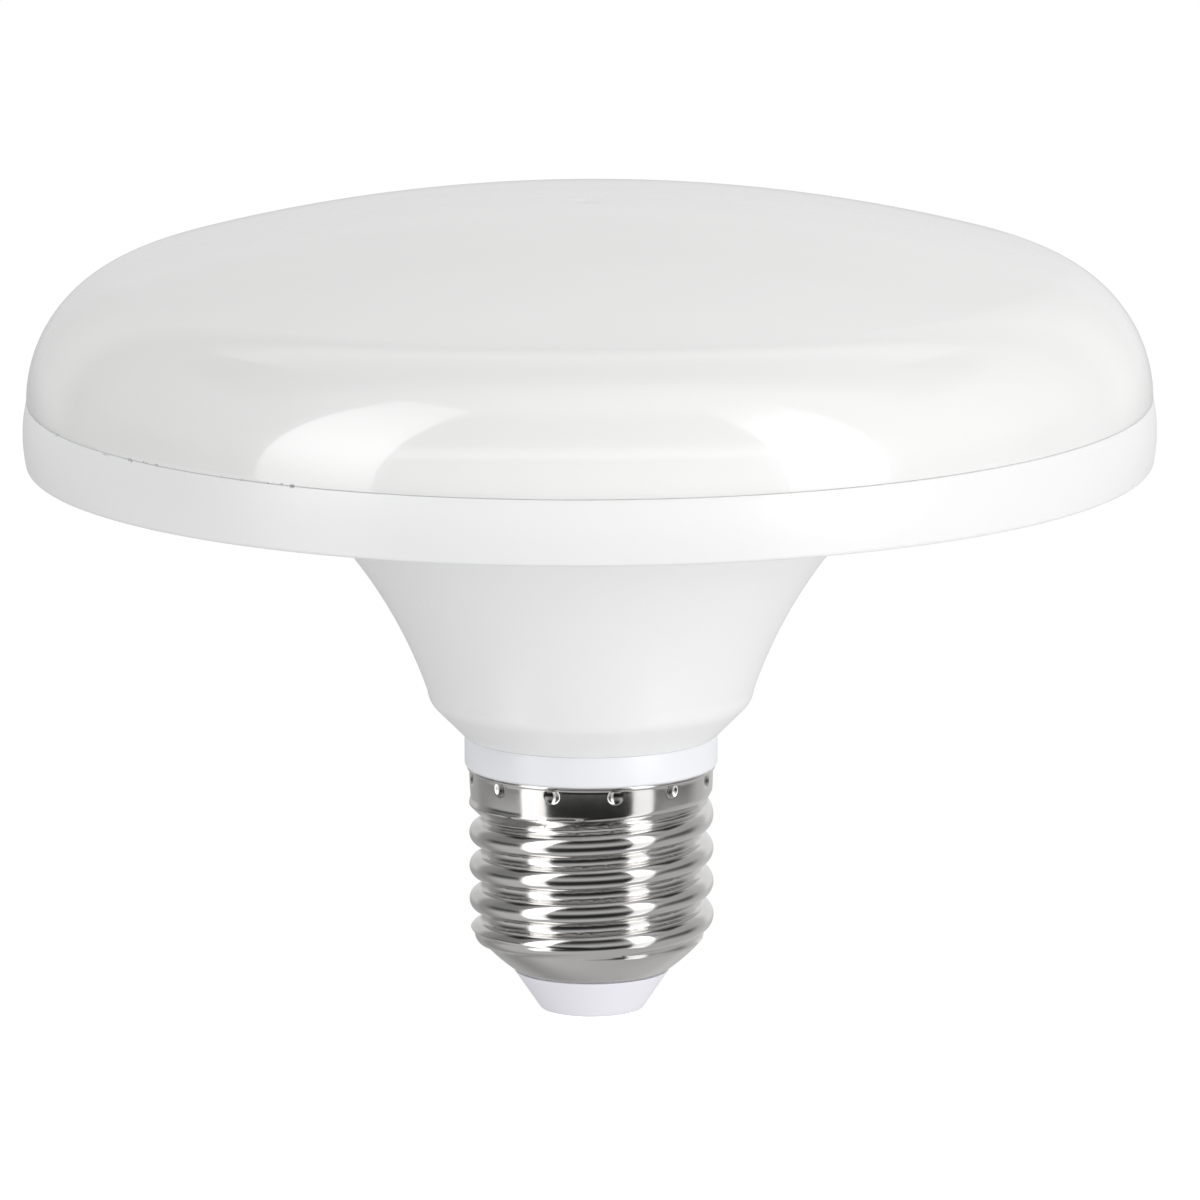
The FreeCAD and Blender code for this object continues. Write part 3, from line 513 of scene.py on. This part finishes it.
class Electronics:
    """Finishes of the pieces inside."""

    MASK = Finish("white_solder_mask", (0.86, 0.86, 0.85), roughness=0.4, patch_scale=80.0, tone_spread=0.015,
                  grain_scale=2200.0, grain_height=0.003)
    PHOSPHOR = Finish("led_phosphor", (0.88, 0.72, 0.24), roughness=0.45, patch_scale=900.0, tone_spread=0.05,
                      grain_scale=5200.0, grain_height=0.01)
    CONNECTOR = Finish("cream_connector", (0.83, 0.80, 0.73), roughness=0.42, patch_scale=500.0,
                       tone_spread=0.02)
    LAMINATE = Finish("green_laminate", (0.07, 0.27, 0.13), roughness=0.35, patch_scale=350.0, tone_spread=0.09,
                      grain_scale=2600.0, grain_height=0.012)
    SLEEVE = Finish("capacitor_sleeve", (0.03, 0.04, 0.10), roughness=0.24, coat=0.4, patch_scale=300.0,
                    tone_spread=0.05)
    FERRITE = Finish("grey_ferrite", (0.07, 0.07, 0.075), roughness=0.6, patch_scale=500.0, tone_spread=0.08,
                     grain_scale=4200.0, grain_height=0.02)
    FILM_BOX = Finish("red_film_box", (0.50, 0.08, 0.06), roughness=0.4, patch_scale=300.0, tone_spread=0.03)
    VARISTOR = Finish("blue_epoxy_coat", (0.06, 0.18, 0.50), roughness=0.3, coat=0.3, patch_scale=400.0,
                      tone_spread=0.05, grain_scale=1400.0, grain_height=0.04)
    FUSE = Finish("grey_green_lacquer", (0.42, 0.55, 0.52), roughness=0.38, patch_scale=600.0, tone_spread=0.05,
                  grain_scale=2600.0, grain_height=0.02)
    PACKAGE = Finish("black_package", (0.025, 0.025, 0.027), roughness=0.5, patch_scale=700.0, tone_spread=0.06,
                     grain_scale=5200.0, grain_height=0.01)
    RED_LEAD = Finish("red_insulation", (0.52, 0.03, 0.03), roughness=0.42, patch_scale=500.0, tone_spread=0.04)
    BLACK_LEAD = Finish("black_insulation", (0.02, 0.02, 0.022), roughness=0.42, patch_scale=500.0,
                        tone_spread=0.05)


def hand_over(piece: bpy.types.Object, finish: Finish, slot: str, *nodes: str,
              mirrored: bool = True) -> None:
    """Gives a piece its finish and puts it in the place of its CAD nodes.

    Args:
        piece: The piece.
        finish: Its finish.
        slot: The record's material slot; not used.
        nodes: The CAD nodes it stands for.
        mirrored: Whether the bright metal mirrors it.
    """
    piece.visible_glossy = mirrored
    piece.data.materials.clear()
    piece.data.materials.append(finish.material())
    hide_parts(*nodes)
    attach(piece, BODY)
    LOG.info("%s: %d faces, for %s", piece.name, len(piece.data.polygons), ", ".join(nodes))


@dataclass
class ScrewCap:
    """Screw cap: thin rolled shell, white nose under it and the centre contact."""

    crest: float = 13.09
    depth: float = 1.27
    pitch: float = 3.629
    crest_roll: float = 1.358
    root_roll: float = 0.4895
    vee_depth: float = 1.5
    floor_bend: float = 1.5
    floor_blend: float = 0.04
    first_groove: float = 8.81
    run_in_start: float = -0.62
    run_in: float = 0.3
    turns: float = 3.75
    fade_out: float = 0.5
    run_in_blend: float = 0.12
    run_in_top: float = 9.4
    run_in_reach: float = 0.6
    rows: int = 146
    columns: int = 180
    flank: float = 1.3
    flank_from: float = 2.9
    flank_change: float = 0.7
    skirt_low: float = 23.7
    skirt_set: float = 0.16
    skirt_bend: float = 32.0
    lip: float = 13.3
    lip_low: float = 26.6
    top: float = 27.1
    wall: float = 0.3
    swell_tops: tuple[float, ...] = (9.4, 11.2, 12.55, 13.1, 13.1)
    swell_bends: tuple[float, ...] = (2.0, 1.5, 0.9)
    nose_radius: float = 12.75
    nose_height: float = 9.15
    nose_bend: float = 20.0
    knee_bend: float = 0.9
    mouth_radius: float = 8.1
    mouth_height: float = 4.72
    punches: int = 12
    punch_turn: float = 11.4
    punch_height: float = 26.05
    punch_radius: float = 0.82
    punch_depth: float = 0.3

    def shell_outline(self) -> Outline:
        """Outer skin of the shell, plain, with rows fine enough for the thread."""
        line = Outline().to(self.mouth_radius, self.mouth_height)
        line.arc(self.nose_radius, self.nose_height, self.nose_bend, Side.LEFT, 30)
        line.arc(self.crest, self.nose_height + 0.62, self.knee_bend, Side.LEFT, 6)
        line.to(self.crest, self.skirt_low - 0.6, self.rows)
        line.to(self.crest - self.skirt_set, self.skirt_low, 4)
        line.arc(self.crest - 0.03, self.lip_low - 0.02, self.skirt_bend, Side.LEFT, 12)
        line.arc(self.crest + 0.1, self.lip_low + 0.12, 0.16, Side.RIGHT, 4)
        line.arc(self.lip, self.lip_low + 0.28, 0.2, Side.LEFT, 4)
        line.to(self.lip, self.top - 0.06, 1)
        line.to(self.lip - 0.06, self.top, 1)
        return line

    def roll_thread(self, piece: bpy.types.Object) -> None:
        """Rolls the groove into the plain skin, fading in over the nose and out under the skirt.

        Args:
            piece: The shell's outer skin.
        """
        count = len(piece.data.vertices)
        spots = np.empty(count * 3)
        piece.data.vertices.foreach_get("co", spots)
        spots = spots.reshape(-1, 3) / MM
        across = np.hypot(spots[:, 0], spots[:, 1])
        turn = np.arctan2(spots[:, 1], spots[:, 0]) / (2 * math.pi) % 1.0
        height = spots[:, 2]
        whole = np.round((height - self.first_groove) / self.pitch - turn)
        along = turn + whole
        over = height - self.first_groove - self.pitch * along
        away, half, vee = np.abs(over), self.pitch / 2, self.crest - self.vee_depth
        cut = half * self.root_roll / (self.root_roll + self.crest_roll)
        valley = vee + self.root_roll - np.sqrt(self.root_roll ** 2 - np.minimum(away, cut) ** 2)
        rest = half - np.maximum(away, cut)
        hill = self.crest - self.crest_roll + np.sqrt(self.crest_roll ** 2 - rest ** 2)
        thread = np.where(away < cut, valley, hill)
        root = self.crest - self.depth
        floor = root + away ** 2 / (2 * self.floor_bend)
        thread = (thread + floor + np.hypot(thread - floor, self.floor_blend)) / 2
        straight = root + np.clip(over / self.flank, 0.0, 1.0) * self.depth
        last_turn = ease((along - self.flank_from) / self.flank_change)
        thread += (straight - thread) * last_turn * (over > 0.0)
        press = ease((self.turns + self.fade_out - along) / self.fade_out)
        press *= ease((along - self.run_in_start) / self.run_in)
        top = np.interp(turn, (0.0, 0.25, 0.5, 0.75, 1.0), self.swell_tops)
        bend = np.interp(turn, (0.25, 0.5, 0.75), self.swell_bends)
        gap = height - self.first_groove - self.pitch * (turn - 0.5)
        swell = top - bend + np.sqrt(np.maximum(bend ** 2 - gap ** 2, 0.0))
        plain = np.maximum(across, np.where(np.abs(gap) < bend, swell, 0.0))
        rolled = self.crest - (self.crest - thread) * press
        soft = self.run_in_blend * ease((self.run_in_top - height) / self.run_in_reach)
        target = (plain + rolled - np.hypot(plain - rolled, soft)) / 2
        threaded = (height > self.mouth_height + 0.6) & (height < self.skirt_low + 1.2)
        share = np.where(threaded, target / across, 1.0)
        spots[:, :2] *= share[:, None]
        piece.data.vertices.foreach_set("co", (spots * MM).ravel())
        piece.data.update()

    def punch_marks(self, piece: bpy.types.Object) -> None:
        """Presses the round punch marks into the skirt, on faces made finer round each.

        Args:
            piece: The shell's outer skin.
        """
        places = [math.radians(self.punch_turn + 360.0 * k / self.punches) for k in range(self.punches)]
        centres = [Vector((math.cos(a) * self.crest, math.sin(a) * self.crest, self.punch_height)) * MM
                   for a in places]
        pick(piece)
        bpy.ops.object.mode_set(mode="EDIT")
        bpy.ops.mesh.select_mode(type="FACE")
        bpy.ops.mesh.select_all(action="DESELECT")
        bpy.ops.object.mode_set(mode="OBJECT")
        reach = (self.punch_radius + 0.25) * MM
        for face in piece.data.polygons:
            face.select = any((face.center - centre).length < reach for centre in centres)
        bpy.ops.object.mode_set(mode="EDIT")
        bpy.ops.mesh.subdivide(number_cuts=3)
        bpy.ops.object.mode_set(mode="OBJECT")
        for vertex in piece.data.vertices:
            near = min((vertex.co - centre).length for centre in centres) / MM
            if near < self.punch_radius:
                dip = self.punch_depth * (1.0 - (near / self.punch_radius) ** 2)
                flat = Vector((vertex.co.x, vertex.co.y, 0.0))
                vertex.co -= flat.normalized() * dip * MM
        piece.data.update()

    def shell(self) -> bpy.types.Object:
        """Spins, rolls, punches and thickens the shell."""
        piece = spin_piece("rolled_shell", self.shell_outline(), self.columns)
        self.roll_thread(piece)
        self.punch_marks(piece)
        pick(piece)
        sheet = piece.modifiers.new("sheet", "SOLIDIFY")
        sheet.thickness = self.wall * MM
        sheet.offset = -1.0
        bpy.ops.object.modifier_apply(modifier=sheet.name)
        bpy.ops.object.shade_smooth_by_angle(angle=math.radians(50.0))
        return piece

    def nose(self) -> bpy.types.Object:
        """White nose: cone, the neck in the shell's mouth and the flange above."""
        line = Outline().to(0.9, 0.43).to(5.05, 0.43, 2)
        line.arc(5.6, 0.69, 0.7, Side.LEFT, 5)
        line.to(8.3, 4.66, 6).to(8.32, 4.71).to(8.0, 4.72).to(8.0, 5.22)
        line.to(10.2, 7.32, 2).to(0.9, 7.32).to(0.9, 0.6)
        piece = spin_piece("white_nose", line, 160)
        round_edges(piece, 0.05, 2)
        return piece

    def contact(self) -> bpy.types.Object:
        """Centre contact: domed head with a rounded rim, and its pin."""
        line = Outline().to(0.0, 0.0).to(1.0, 0.01).arc(2.28, 0.12, 7.0, Side.LEFT, 5)
        line.arc(2.5, 0.36, 0.24, Side.LEFT, 4).to(2.5, 0.6).to(0.9, 0.6)
        line.to(0.9, 7.5).to(0.8, 7.6).to(0.0, 7.6)
        piece = spin_piece("contact_rivet", line, 96)
        round_edges(piece, 0.04, 2)
        return piece

    def build(self) -> None:
        """Makes the cap's three pieces and hands them over."""
        hand_over(self.shell(), Metal.NICKEL, "nickel_plate", "screw_shell")
        hand_over(self.nose(), Plastic.NOSE, "nose_plastic", "cap_insulator")
        hand_over(self.contact(), Metal.CONTACT, "contact_metal", "centre_contact")


@dataclass
class Shade:
    """Housing and dome, which meet at the seam."""

    seam_height: float = 67.0
    seam_radius: float = 60.04
    seam_groove: float = 0.09
    rim_radius: float = 60.15
    rim_bend: float = 15.0
    rim_corner: float = 0.55
    rim_inner: float = 58.7
    under: float = 60.0
    floor: float = 61.8
    wall: float = 1.8
    crown_bend: float = 176.1
    shoulder_bend: float = 14.6
    shoulder_height: float = 67.106
    gate_radius: float = 1.45
    gate_depth: float = 0.12
    skirt_inner: float = 57.6
    skirt_low: float = 63.3

    def housing(self) -> bpy.types.Object:
        """White housing: ring, bevel, flared neck, flat underside and barrelled rim."""
        seam, edge = self.seam_height, self.seam_groove
        line = Outline().to(12.0, 30.45).to(13.55, 30.45)
        line.to(16.6, 33.5, 3).arc(17.5, 35.4, 3.0, Side.LEFT, 8)
        line.arc(32.70, 58.0, 52.3, Side.RIGHT, 44)
        line.arc(38.07, 60.0, 8.217, Side.RIGHT, 14)
        line.to(self.rim_radius - self.rim_corner, self.under, 8)
        line.arc(self.rim_radius, self.under + self.rim_corner, self.rim_corner, Side.LEFT, 6)
        line.arc(self.seam_radius + 0.05, seam - edge * 1.6, self.rim_bend, Side.LEFT, 18)
        line.arc(self.seam_radius - edge, seam - 0.02, 0.16, Side.LEFT, 4)
        line.to(self.rim_inner, seam - 0.02).to(self.rim_inner, self.floor)
        line.to(38.07, self.floor, 4).arc(31.52, 59.36, 10.017, Side.LEFT, 10)
        line.arc(15.80, 35.98, 54.1, Side.LEFT, 30)
        line.to(14.95, 33.95).to(13.15, 33.05).to(12.0, 33.05).to(12.0, 30.45)
        piece = spin_piece("housing_shell", line)
        round_edges(piece, 0.08, 2, 24.0)
        return piece

    def dome(self) -> bpy.types.Object:
        """Opal dome with its gate mark, tight shoulder and the skirt inside the rim."""
        reach = self.crown_bend - self.shoulder_bend
        sine = (self.seam_radius - self.shoulder_bend) / reach
        cosine = math.sqrt(1 - sine ** 2)
        centre = self.shoulder_height - reach * cosine
        top = centre + self.crown_bend
        gate_height = centre + math.sqrt(self.crown_bend ** 2 - self.gate_radius ** 2)
        line = Outline().to(0.0, top - self.gate_depth).to(self.gate_radius * 0.55, top - self.gate_depth, 3)
        line.to(self.gate_radius * 0.8, top - self.gate_depth * 0.7).to(self.gate_radius, gate_height)
        line.arc(self.crown_bend * sine, centre + self.crown_bend * cosine, self.crown_bend, Side.RIGHT, 40)
        line.arc(self.seam_radius, self.shoulder_height, self.shoulder_bend, Side.RIGHT, 40)
        line.arc(self.seam_radius - self.seam_groove, self.seam_height + 0.01, 0.12, Side.RIGHT, 3)
        line.to(58.6, self.seam_height + 0.01).to(58.6, self.skirt_low).to(self.skirt_inner, self.skirt_low)
        inner = self.crown_bend - self.wall
        line.to(self.skirt_inner, 70.9, 2)
        line.arc(inner * sine, centre + inner * cosine, self.shoulder_bend - self.wall, Side.LEFT, 14)
        line.arc(0.0, top - self.wall, inner, Side.LEFT, 20)
        piece = spin_piece("opal_dome", line)
        round_edges(piece, 0.04, 2, 24.0)
        return piece

    def build(self) -> None:
        """Makes both pieces and hands them over."""
        hand_over(self.housing(), Plastic.HOUSING, "housing_plastic", "housing", mirrored=False)
        hand_over(self.dome(), Plastic.OPAL, "opal_plastic", "diffuser", mirrored=False)


@dataclass
class Inside:
    """What the lamp holds: driver case, LED board and driver board, joined copies with rounded edges."""

    fine: float = 0.06
    coarse: float = 0.12

    def build(self) -> None:
        """Copies each inner node, rounds it and hands it over in its finish."""
        work: tuple[tuple[str, Finish, str, float], ...] = (
            ("driver_case", Plastic.CASE, "case_plastic", self.coarse),
            ("heat_spreader", Metal.ALUMINIUM, "bare_aluminium", self.fine),
            ("led_board", Electronics.MASK, "white_mask", self.fine),
            ("led_chips", Electronics.PHOSPHOR, "phosphor", self.coarse),
            ("board_screws", Metal.ZINC, "screw_steel", self.coarse),
            ("led_connector", Electronics.CONNECTOR, "connector_plastic", self.coarse),
            ("driver_board", Electronics.LAMINATE, "circuit_laminate", self.fine),
            ("input_capacitor", Electronics.SLEEVE, "capacitor_sleeve", self.coarse * 4),
            ("output_capacitor", Electronics.SLEEVE, "capacitor_sleeve", self.coarse * 4),
            ("transformer_core", Electronics.FERRITE, "ferrite", self.coarse),
            ("transformer_coil", Metal.COPPER, "copper_winding", self.coarse),
            ("film_capacitor", Electronics.FILM_BOX, "film_box", self.coarse * 2),
            ("varistor", Electronics.VARISTOR, "varistor_coat", self.coarse * 5),
            ("fusible_resistor", Electronics.FUSE, "resistor_coat", self.coarse * 4),
            ("output_choke", Electronics.FERRITE, "ferrite", self.coarse),
            ("bridge_rectifier", Electronics.PACKAGE, "chip_plastic", self.fine),
            ("driver_chip", Electronics.PACKAGE, "chip_plastic", self.fine),
            ("rectifier_diode", Electronics.PACKAGE, "chip_plastic", self.fine),
            ("chip_resistors", Electronics.PACKAGE, "chip_plastic", self.fine),
            ("live_wire", Electronics.RED_LEAD, "red_insulation", self.fine),
            ("neutral_wire", Metal.TINNED, "tinned_wire", self.fine),
            ("led_wire_positive", Electronics.RED_LEAD, "red_insulation", self.fine),
            ("led_wire_negative", Electronics.BLACK_LEAD, "black_insulation", self.fine),
        )
        for node, finish, slot, width in work:
            hand_over(copy_node(node, width), finish, slot, node, mirrored=node == "driver_case")


@dataclass
class Studio:
    """Camera, tall soft boxes, fills, two strips for the dome, the room and a floor well below."""

    target: tuple[float, float, float] = (1.02, 0.0, 44.94)
    distance: float = 1500.0
    elevation: float = 10.964
    roll: float = 0.21
    lens: float = 420.92
    sensor: float = 36.0
    floor_drop: float = 1010.0
    floor_size: float = 9000.0
    ambient: float = 0.93
    table_glow: float = 0.11
    box_distance: float = 800.0
    hot_spot: float = 0.58
    lid_depth: float = 0.94
    floor_white: float = 0.8

    def camera(self) -> None:
        """Puts the camera where the photograph was taken from."""
        lift = math.radians(self.elevation)
        back = Vector((0.0, -math.cos(lift), math.sin(lift)))
        bpy.ops.object.camera_add(location=(Vector(self.target) + back * self.distance) * MM)
        camera = bpy.context.object
        turn = Quaternion(Vector((0.0, 0.0, 1.0)), -math.radians(self.roll))
        camera.rotation_mode = "QUATERNION"
        camera.rotation_quaternion = (-back).to_track_quat("-Z", "Y") @ turn
        camera.data.lens = self.lens
        camera.data.sensor_width = self.sensor
        camera.data.clip_start, camera.data.clip_end = 0.1, 20.0
        bpy.context.scene.camera = camera

    def soft_box(self, name: str, azimuth: float, height: float, size: tuple[float, float], radiance: float,
                 lean: float = 0.0, ends: tuple[float, float] = (1.0, 1.0),
                 tilt: float = 0.0) -> bpy.types.Object:
        """Adds a soft box that faces the lamp, hottest a little above its middle.

        Args:
            name: Its name.
            azimuth: Degrees from straight in front, to the right.
            height: Height of its middle, in millimetres.
            size: Width and height, in millimetres.
            radiance: How bright its hottest part is.
            lean: Degrees that its top leans towards the front.
            ends: How bright its foot and its head are, as shares of the hottest part.
            tilt: Degrees that it is swung up over the lamp.

        Returns:
            The soft box.
        """
        turn, rise = math.radians(azimuth), math.radians(tilt)
        away = self.box_distance * math.cos(rise)
        place = Vector((math.sin(turn) * away, -math.cos(turn) * away,
                        height + self.box_distance * math.sin(rise))) * MM
        bpy.ops.object.light_add(type="AREA", location=place)
        light = bpy.context.object
        light.name = name
        light.rotation_mode = "QUATERNION"
        upright = Quaternion((0.0, 0.0, 1.0), turn) @ Quaternion((1.0, 0.0, 0.0), math.radians(90.0) - rise)
        leaning = Quaternion((0.0, 0.0, 1.0), math.copysign(math.radians(lean), azimuth))
        light.rotation_quaternion = upright @ leaning
        light.data.shape = "RECTANGLE"
        light.data.size, light.data.size_y = size[0] * MM, size[1] * MM
        light.data.energy = radiance * math.pi * light.data.size * light.data.size_y
        light.visible_camera = False
        light.data.use_nodes = True
        bench = Bench(light.data.node_tree)
        split = bench.add("SeparateXYZ")
        bench.wire(bench.add("NewGeometry").outputs["Parametric"], split.inputs[0])
        foot = bench.ramp(split.outputs["Y"], self.hot_spot - 0.18, self.hot_spot, ends[0], 1.0)
        head = bench.ramp(split.outputs["Y"], self.hot_spot, 0.97, 1.0, ends[1])
        glow = bench.add("Emission", Color=(1.0, 1.0, 1.0, 1.0))
        bench.wire(bench.math("MULTIPLY", foot, head), glow.inputs["Strength"])
        bench.wire(glow.outputs[0], bench.add("OutputLight").inputs["Surface"])
        return light

    def mirrored_room(self, bench: Bench, right: Socket, back: Socket, up: Socket) -> Socket:
        """What shiny surfaces mirror: a bright band in front, dim walls, a backdrop and a lid.

        Args:
            bench: The world's tree.
            right: How far a ray goes to the right, of 1.
            back: How far it goes away from the camera.
            up: How far it goes up.

        Returns:
            The room's strength in the ray's direction.
        """
        band = bench.math("MULTIPLY", bench.ramp(up, -0.3, 0.06, 0.02, 0.47),
                          bench.ramp(up, 0.12, 0.62, 1.0, 0.05))
        crown = bench.math("MULTIPLY", bench.ramp(up, 0.78, 0.92, 0.0, 0.48),
                           bench.ramp(up, 0.94, 1.0, 1.0, 0.3))
        table = bench.ramp(up, -0.98, -0.6, 0.52, 0.0)
        front = bench.math("ADD", bench.math("ADD", band, crown), table)
        low_left, high_left = bench.ramp(up, -0.4, -0.05, 0.5, 0.06), bench.ramp(up, 0.0, 0.2, 0.0, 0.15)
        low_right, high_right = bench.ramp(up, -0.45, -0.1, 0.45, 0.1), bench.ramp(up, 0.0, 0.2, 0.0, 0.27)
        rightward = bench.ramp(right, -0.35, 0.35)
        sides = bench.blend(rightward, bench.math("ADD", low_left, high_left),
                            bench.math("ADD", low_right, high_right))
        sides = bench.math("ADD", sides, bench.ramp(up, 0.55, 0.8, 0.0, 0.15))
        backdrop = bench.math("ADD", bench.ramp(back, 0.6, 0.8, 0.0, 0.3),
                              bench.ramp(back, 0.9, 0.98, 0.0, 0.05))
        backdrop = bench.math("MULTIPLY", backdrop, bench.ramp(up, -0.25, 0.0, 0.3, 1.0))
        backdrop = bench.math("MULTIPLY", backdrop, bench.ramp(up, 0.7, 0.9, 1.0, 0.0))
        rear = bench.math("ADD", bench.blend(rightward, 0.3, 0.5), backdrop)
        room = bench.blend(bench.ramp(back, -0.6, -0.2), front, sides)
        room = bench.blend(bench.ramp(back, 0.2, 0.6), room, rear)
        lid = bench.math("MULTIPLY", bench.ramp(up, 0.58, 0.68), bench.ramp(back, -0.15, 0.05))
        lid = bench.math("MULTIPLY", lid, bench.ramp(back, 0.3, 0.56, 1.0, 0.0))
        open_share = bench.math("SUBTRACT", 1.0, bench.math("MULTIPLY", lid, self.lid_depth))
        return bench.math("MULTIPLY", room, open_share)

    def room(self) -> None:
        """White behind the lamp for the camera; in reflections a dim room under a dark lid."""
        world = bpy.data.worlds.new("studio room")
        bpy.context.scene.world = world
        world.use_nodes = True
        bench = Bench(world.node_tree)
        path = bench.add("LightPath")
        split = bench.add("SeparateXYZ")
        bench.wire(bench.add("TexCoord").outputs["Generated"], split.inputs[0])
        right, back, up = split.outputs
        seen = self.mirrored_room(bench, right, back, up)
        plain = bench.math("MAXIMUM", path.outputs["Is Camera Ray"], path.outputs["Is Transmission Ray"])
        glossy = path.outputs["Is Glossy Ray"]
        other = bench.math("SUBTRACT", 1.0, bench.math("MAXIMUM", plain, glossy))
        strength = bench.math("ADD", bench.math("MULTIPLY", seen, glossy), plain)
        strength = bench.math("ADD", strength, bench.math("MULTIPLY", other, self.ambient))
        background = bench.add("Background", Color=(1.0, 1.0, 1.0, 1.0))
        bench.wire(strength, background.inputs["Strength"])
        bench.wire(background.outputs[0], bench.add("OutputWorld").inputs["Surface"])

    def floor(self) -> None:
        """Pale floor: white to the camera, with the lamp's shadow on it."""
        bpy.ops.object.select_all(action="DESELECT")
        bpy.ops.mesh.primitive_plane_add(size=self.floor_size * MM, location=(0.0, 0.0, -self.floor_drop * MM))
        floor = bpy.context.object
        floor.name = "studio_floor"
        material = bpy.data.materials.new("studio_floor")
        material.use_nodes = True
        bench = Bench(material.node_tree)
        path = bench.add("LightPath")
        diffuse = bench.add("BsdfDiffuse", Color=(0.75, 0.75, 0.75, 1.0))
        glow = bench.add("Emission", Color=(1.0, 1.0, 1.0, 1.0))
        seen = bench.math("MAXIMUM", path.outputs["Is Camera Ray"], path.outputs["Is Transmission Ray"])
        white = bench.math("MULTIPLY", seen, self.floor_white)
        bench.wire(bench.math("ADD", white, self.table_glow), glow.inputs["Strength"])
        both = bench.add("AddShader")
        bench.wire(diffuse.outputs[0], both.inputs[0])
        bench.wire(glow.outputs[0], both.inputs[1])
        clear = bench.add("BsdfTransparent")
        mix = bench.add("MixShader")
        bench.wire(bench.add("NewGeometry").outputs["Backfacing"], mix.inputs[0])
        bench.wire(both.outputs[0], mix.inputs[1])
        bench.wire(clear.outputs[0], mix.inputs[2])
        bench.wire(mix.outputs[0], bench.add("OutputMaterial").inputs["Surface"])
        floor.data.materials.append(material)
        floor.visible_glossy = False

    def build(self) -> None:
        """Sets up the whole studio."""
        self.camera()
        self.room()
        self.floor()
        self.dome_and_cap_boxes()
        self.dome_strips()
        bpy.context.scene.view_settings.view_transform = "Standard"

    def dome_and_cap_boxes(self) -> None:
        """Tall soft boxes that only shiny surfaces show, and two fills for the white plastics."""
        left = self.soft_box("left_soft_box", -54.5, 185.0, (365.0, 2370.0), 2.45, 5.5, (0.5, 0.42))
        right = self.soft_box("right_soft_box", 49.1, 150.0, (300.0, 2300.0), 2.6, 4.1, (0.4, 0.16))
        left.visible_diffuse = right.visible_diffuse = False
        fill = self.soft_box("side_fill", 47.0, 80.0, (350.0, 420.0), 4.2)
        front = self.soft_box("front_fill", 2.0, 10.0, (300.0, 300.0), 0.55)
        fill.visible_glossy = front.visible_glossy = False

    def dome_strips(self) -> None:
        """Two weak strips, mirrored by the dome alone."""
        strip = self.soft_box("front_strip", 0.0, 370.0, (1400.0, 480.0), 0.8, 0.0, (0.0, 0.0))
        over = self.soft_box("crown_strip", 180.0, 60.0, (1050.0, 1000.0), 0.38, 0.0, (0.0, 0.0), 58.0)
        dome_only = bpy.data.collections.new("lit_by_the_strips")
        dome_only.objects.link(bpy.data.objects["opal_dome"])
        for light in (strip, over):
            light.visible_diffuse = False
            light.light_linking.receiver_collection = dome_only


def main() -> None:
    """Builds the lamp from the cap up, then the studio round it."""
    logging.basicConfig(level=logging.INFO, format="%(name)s %(message)s")
    ScrewCap().build()
    Shade().build()
    Inside().build()
    Studio().build()


if __name__ == "__main__":
    main()
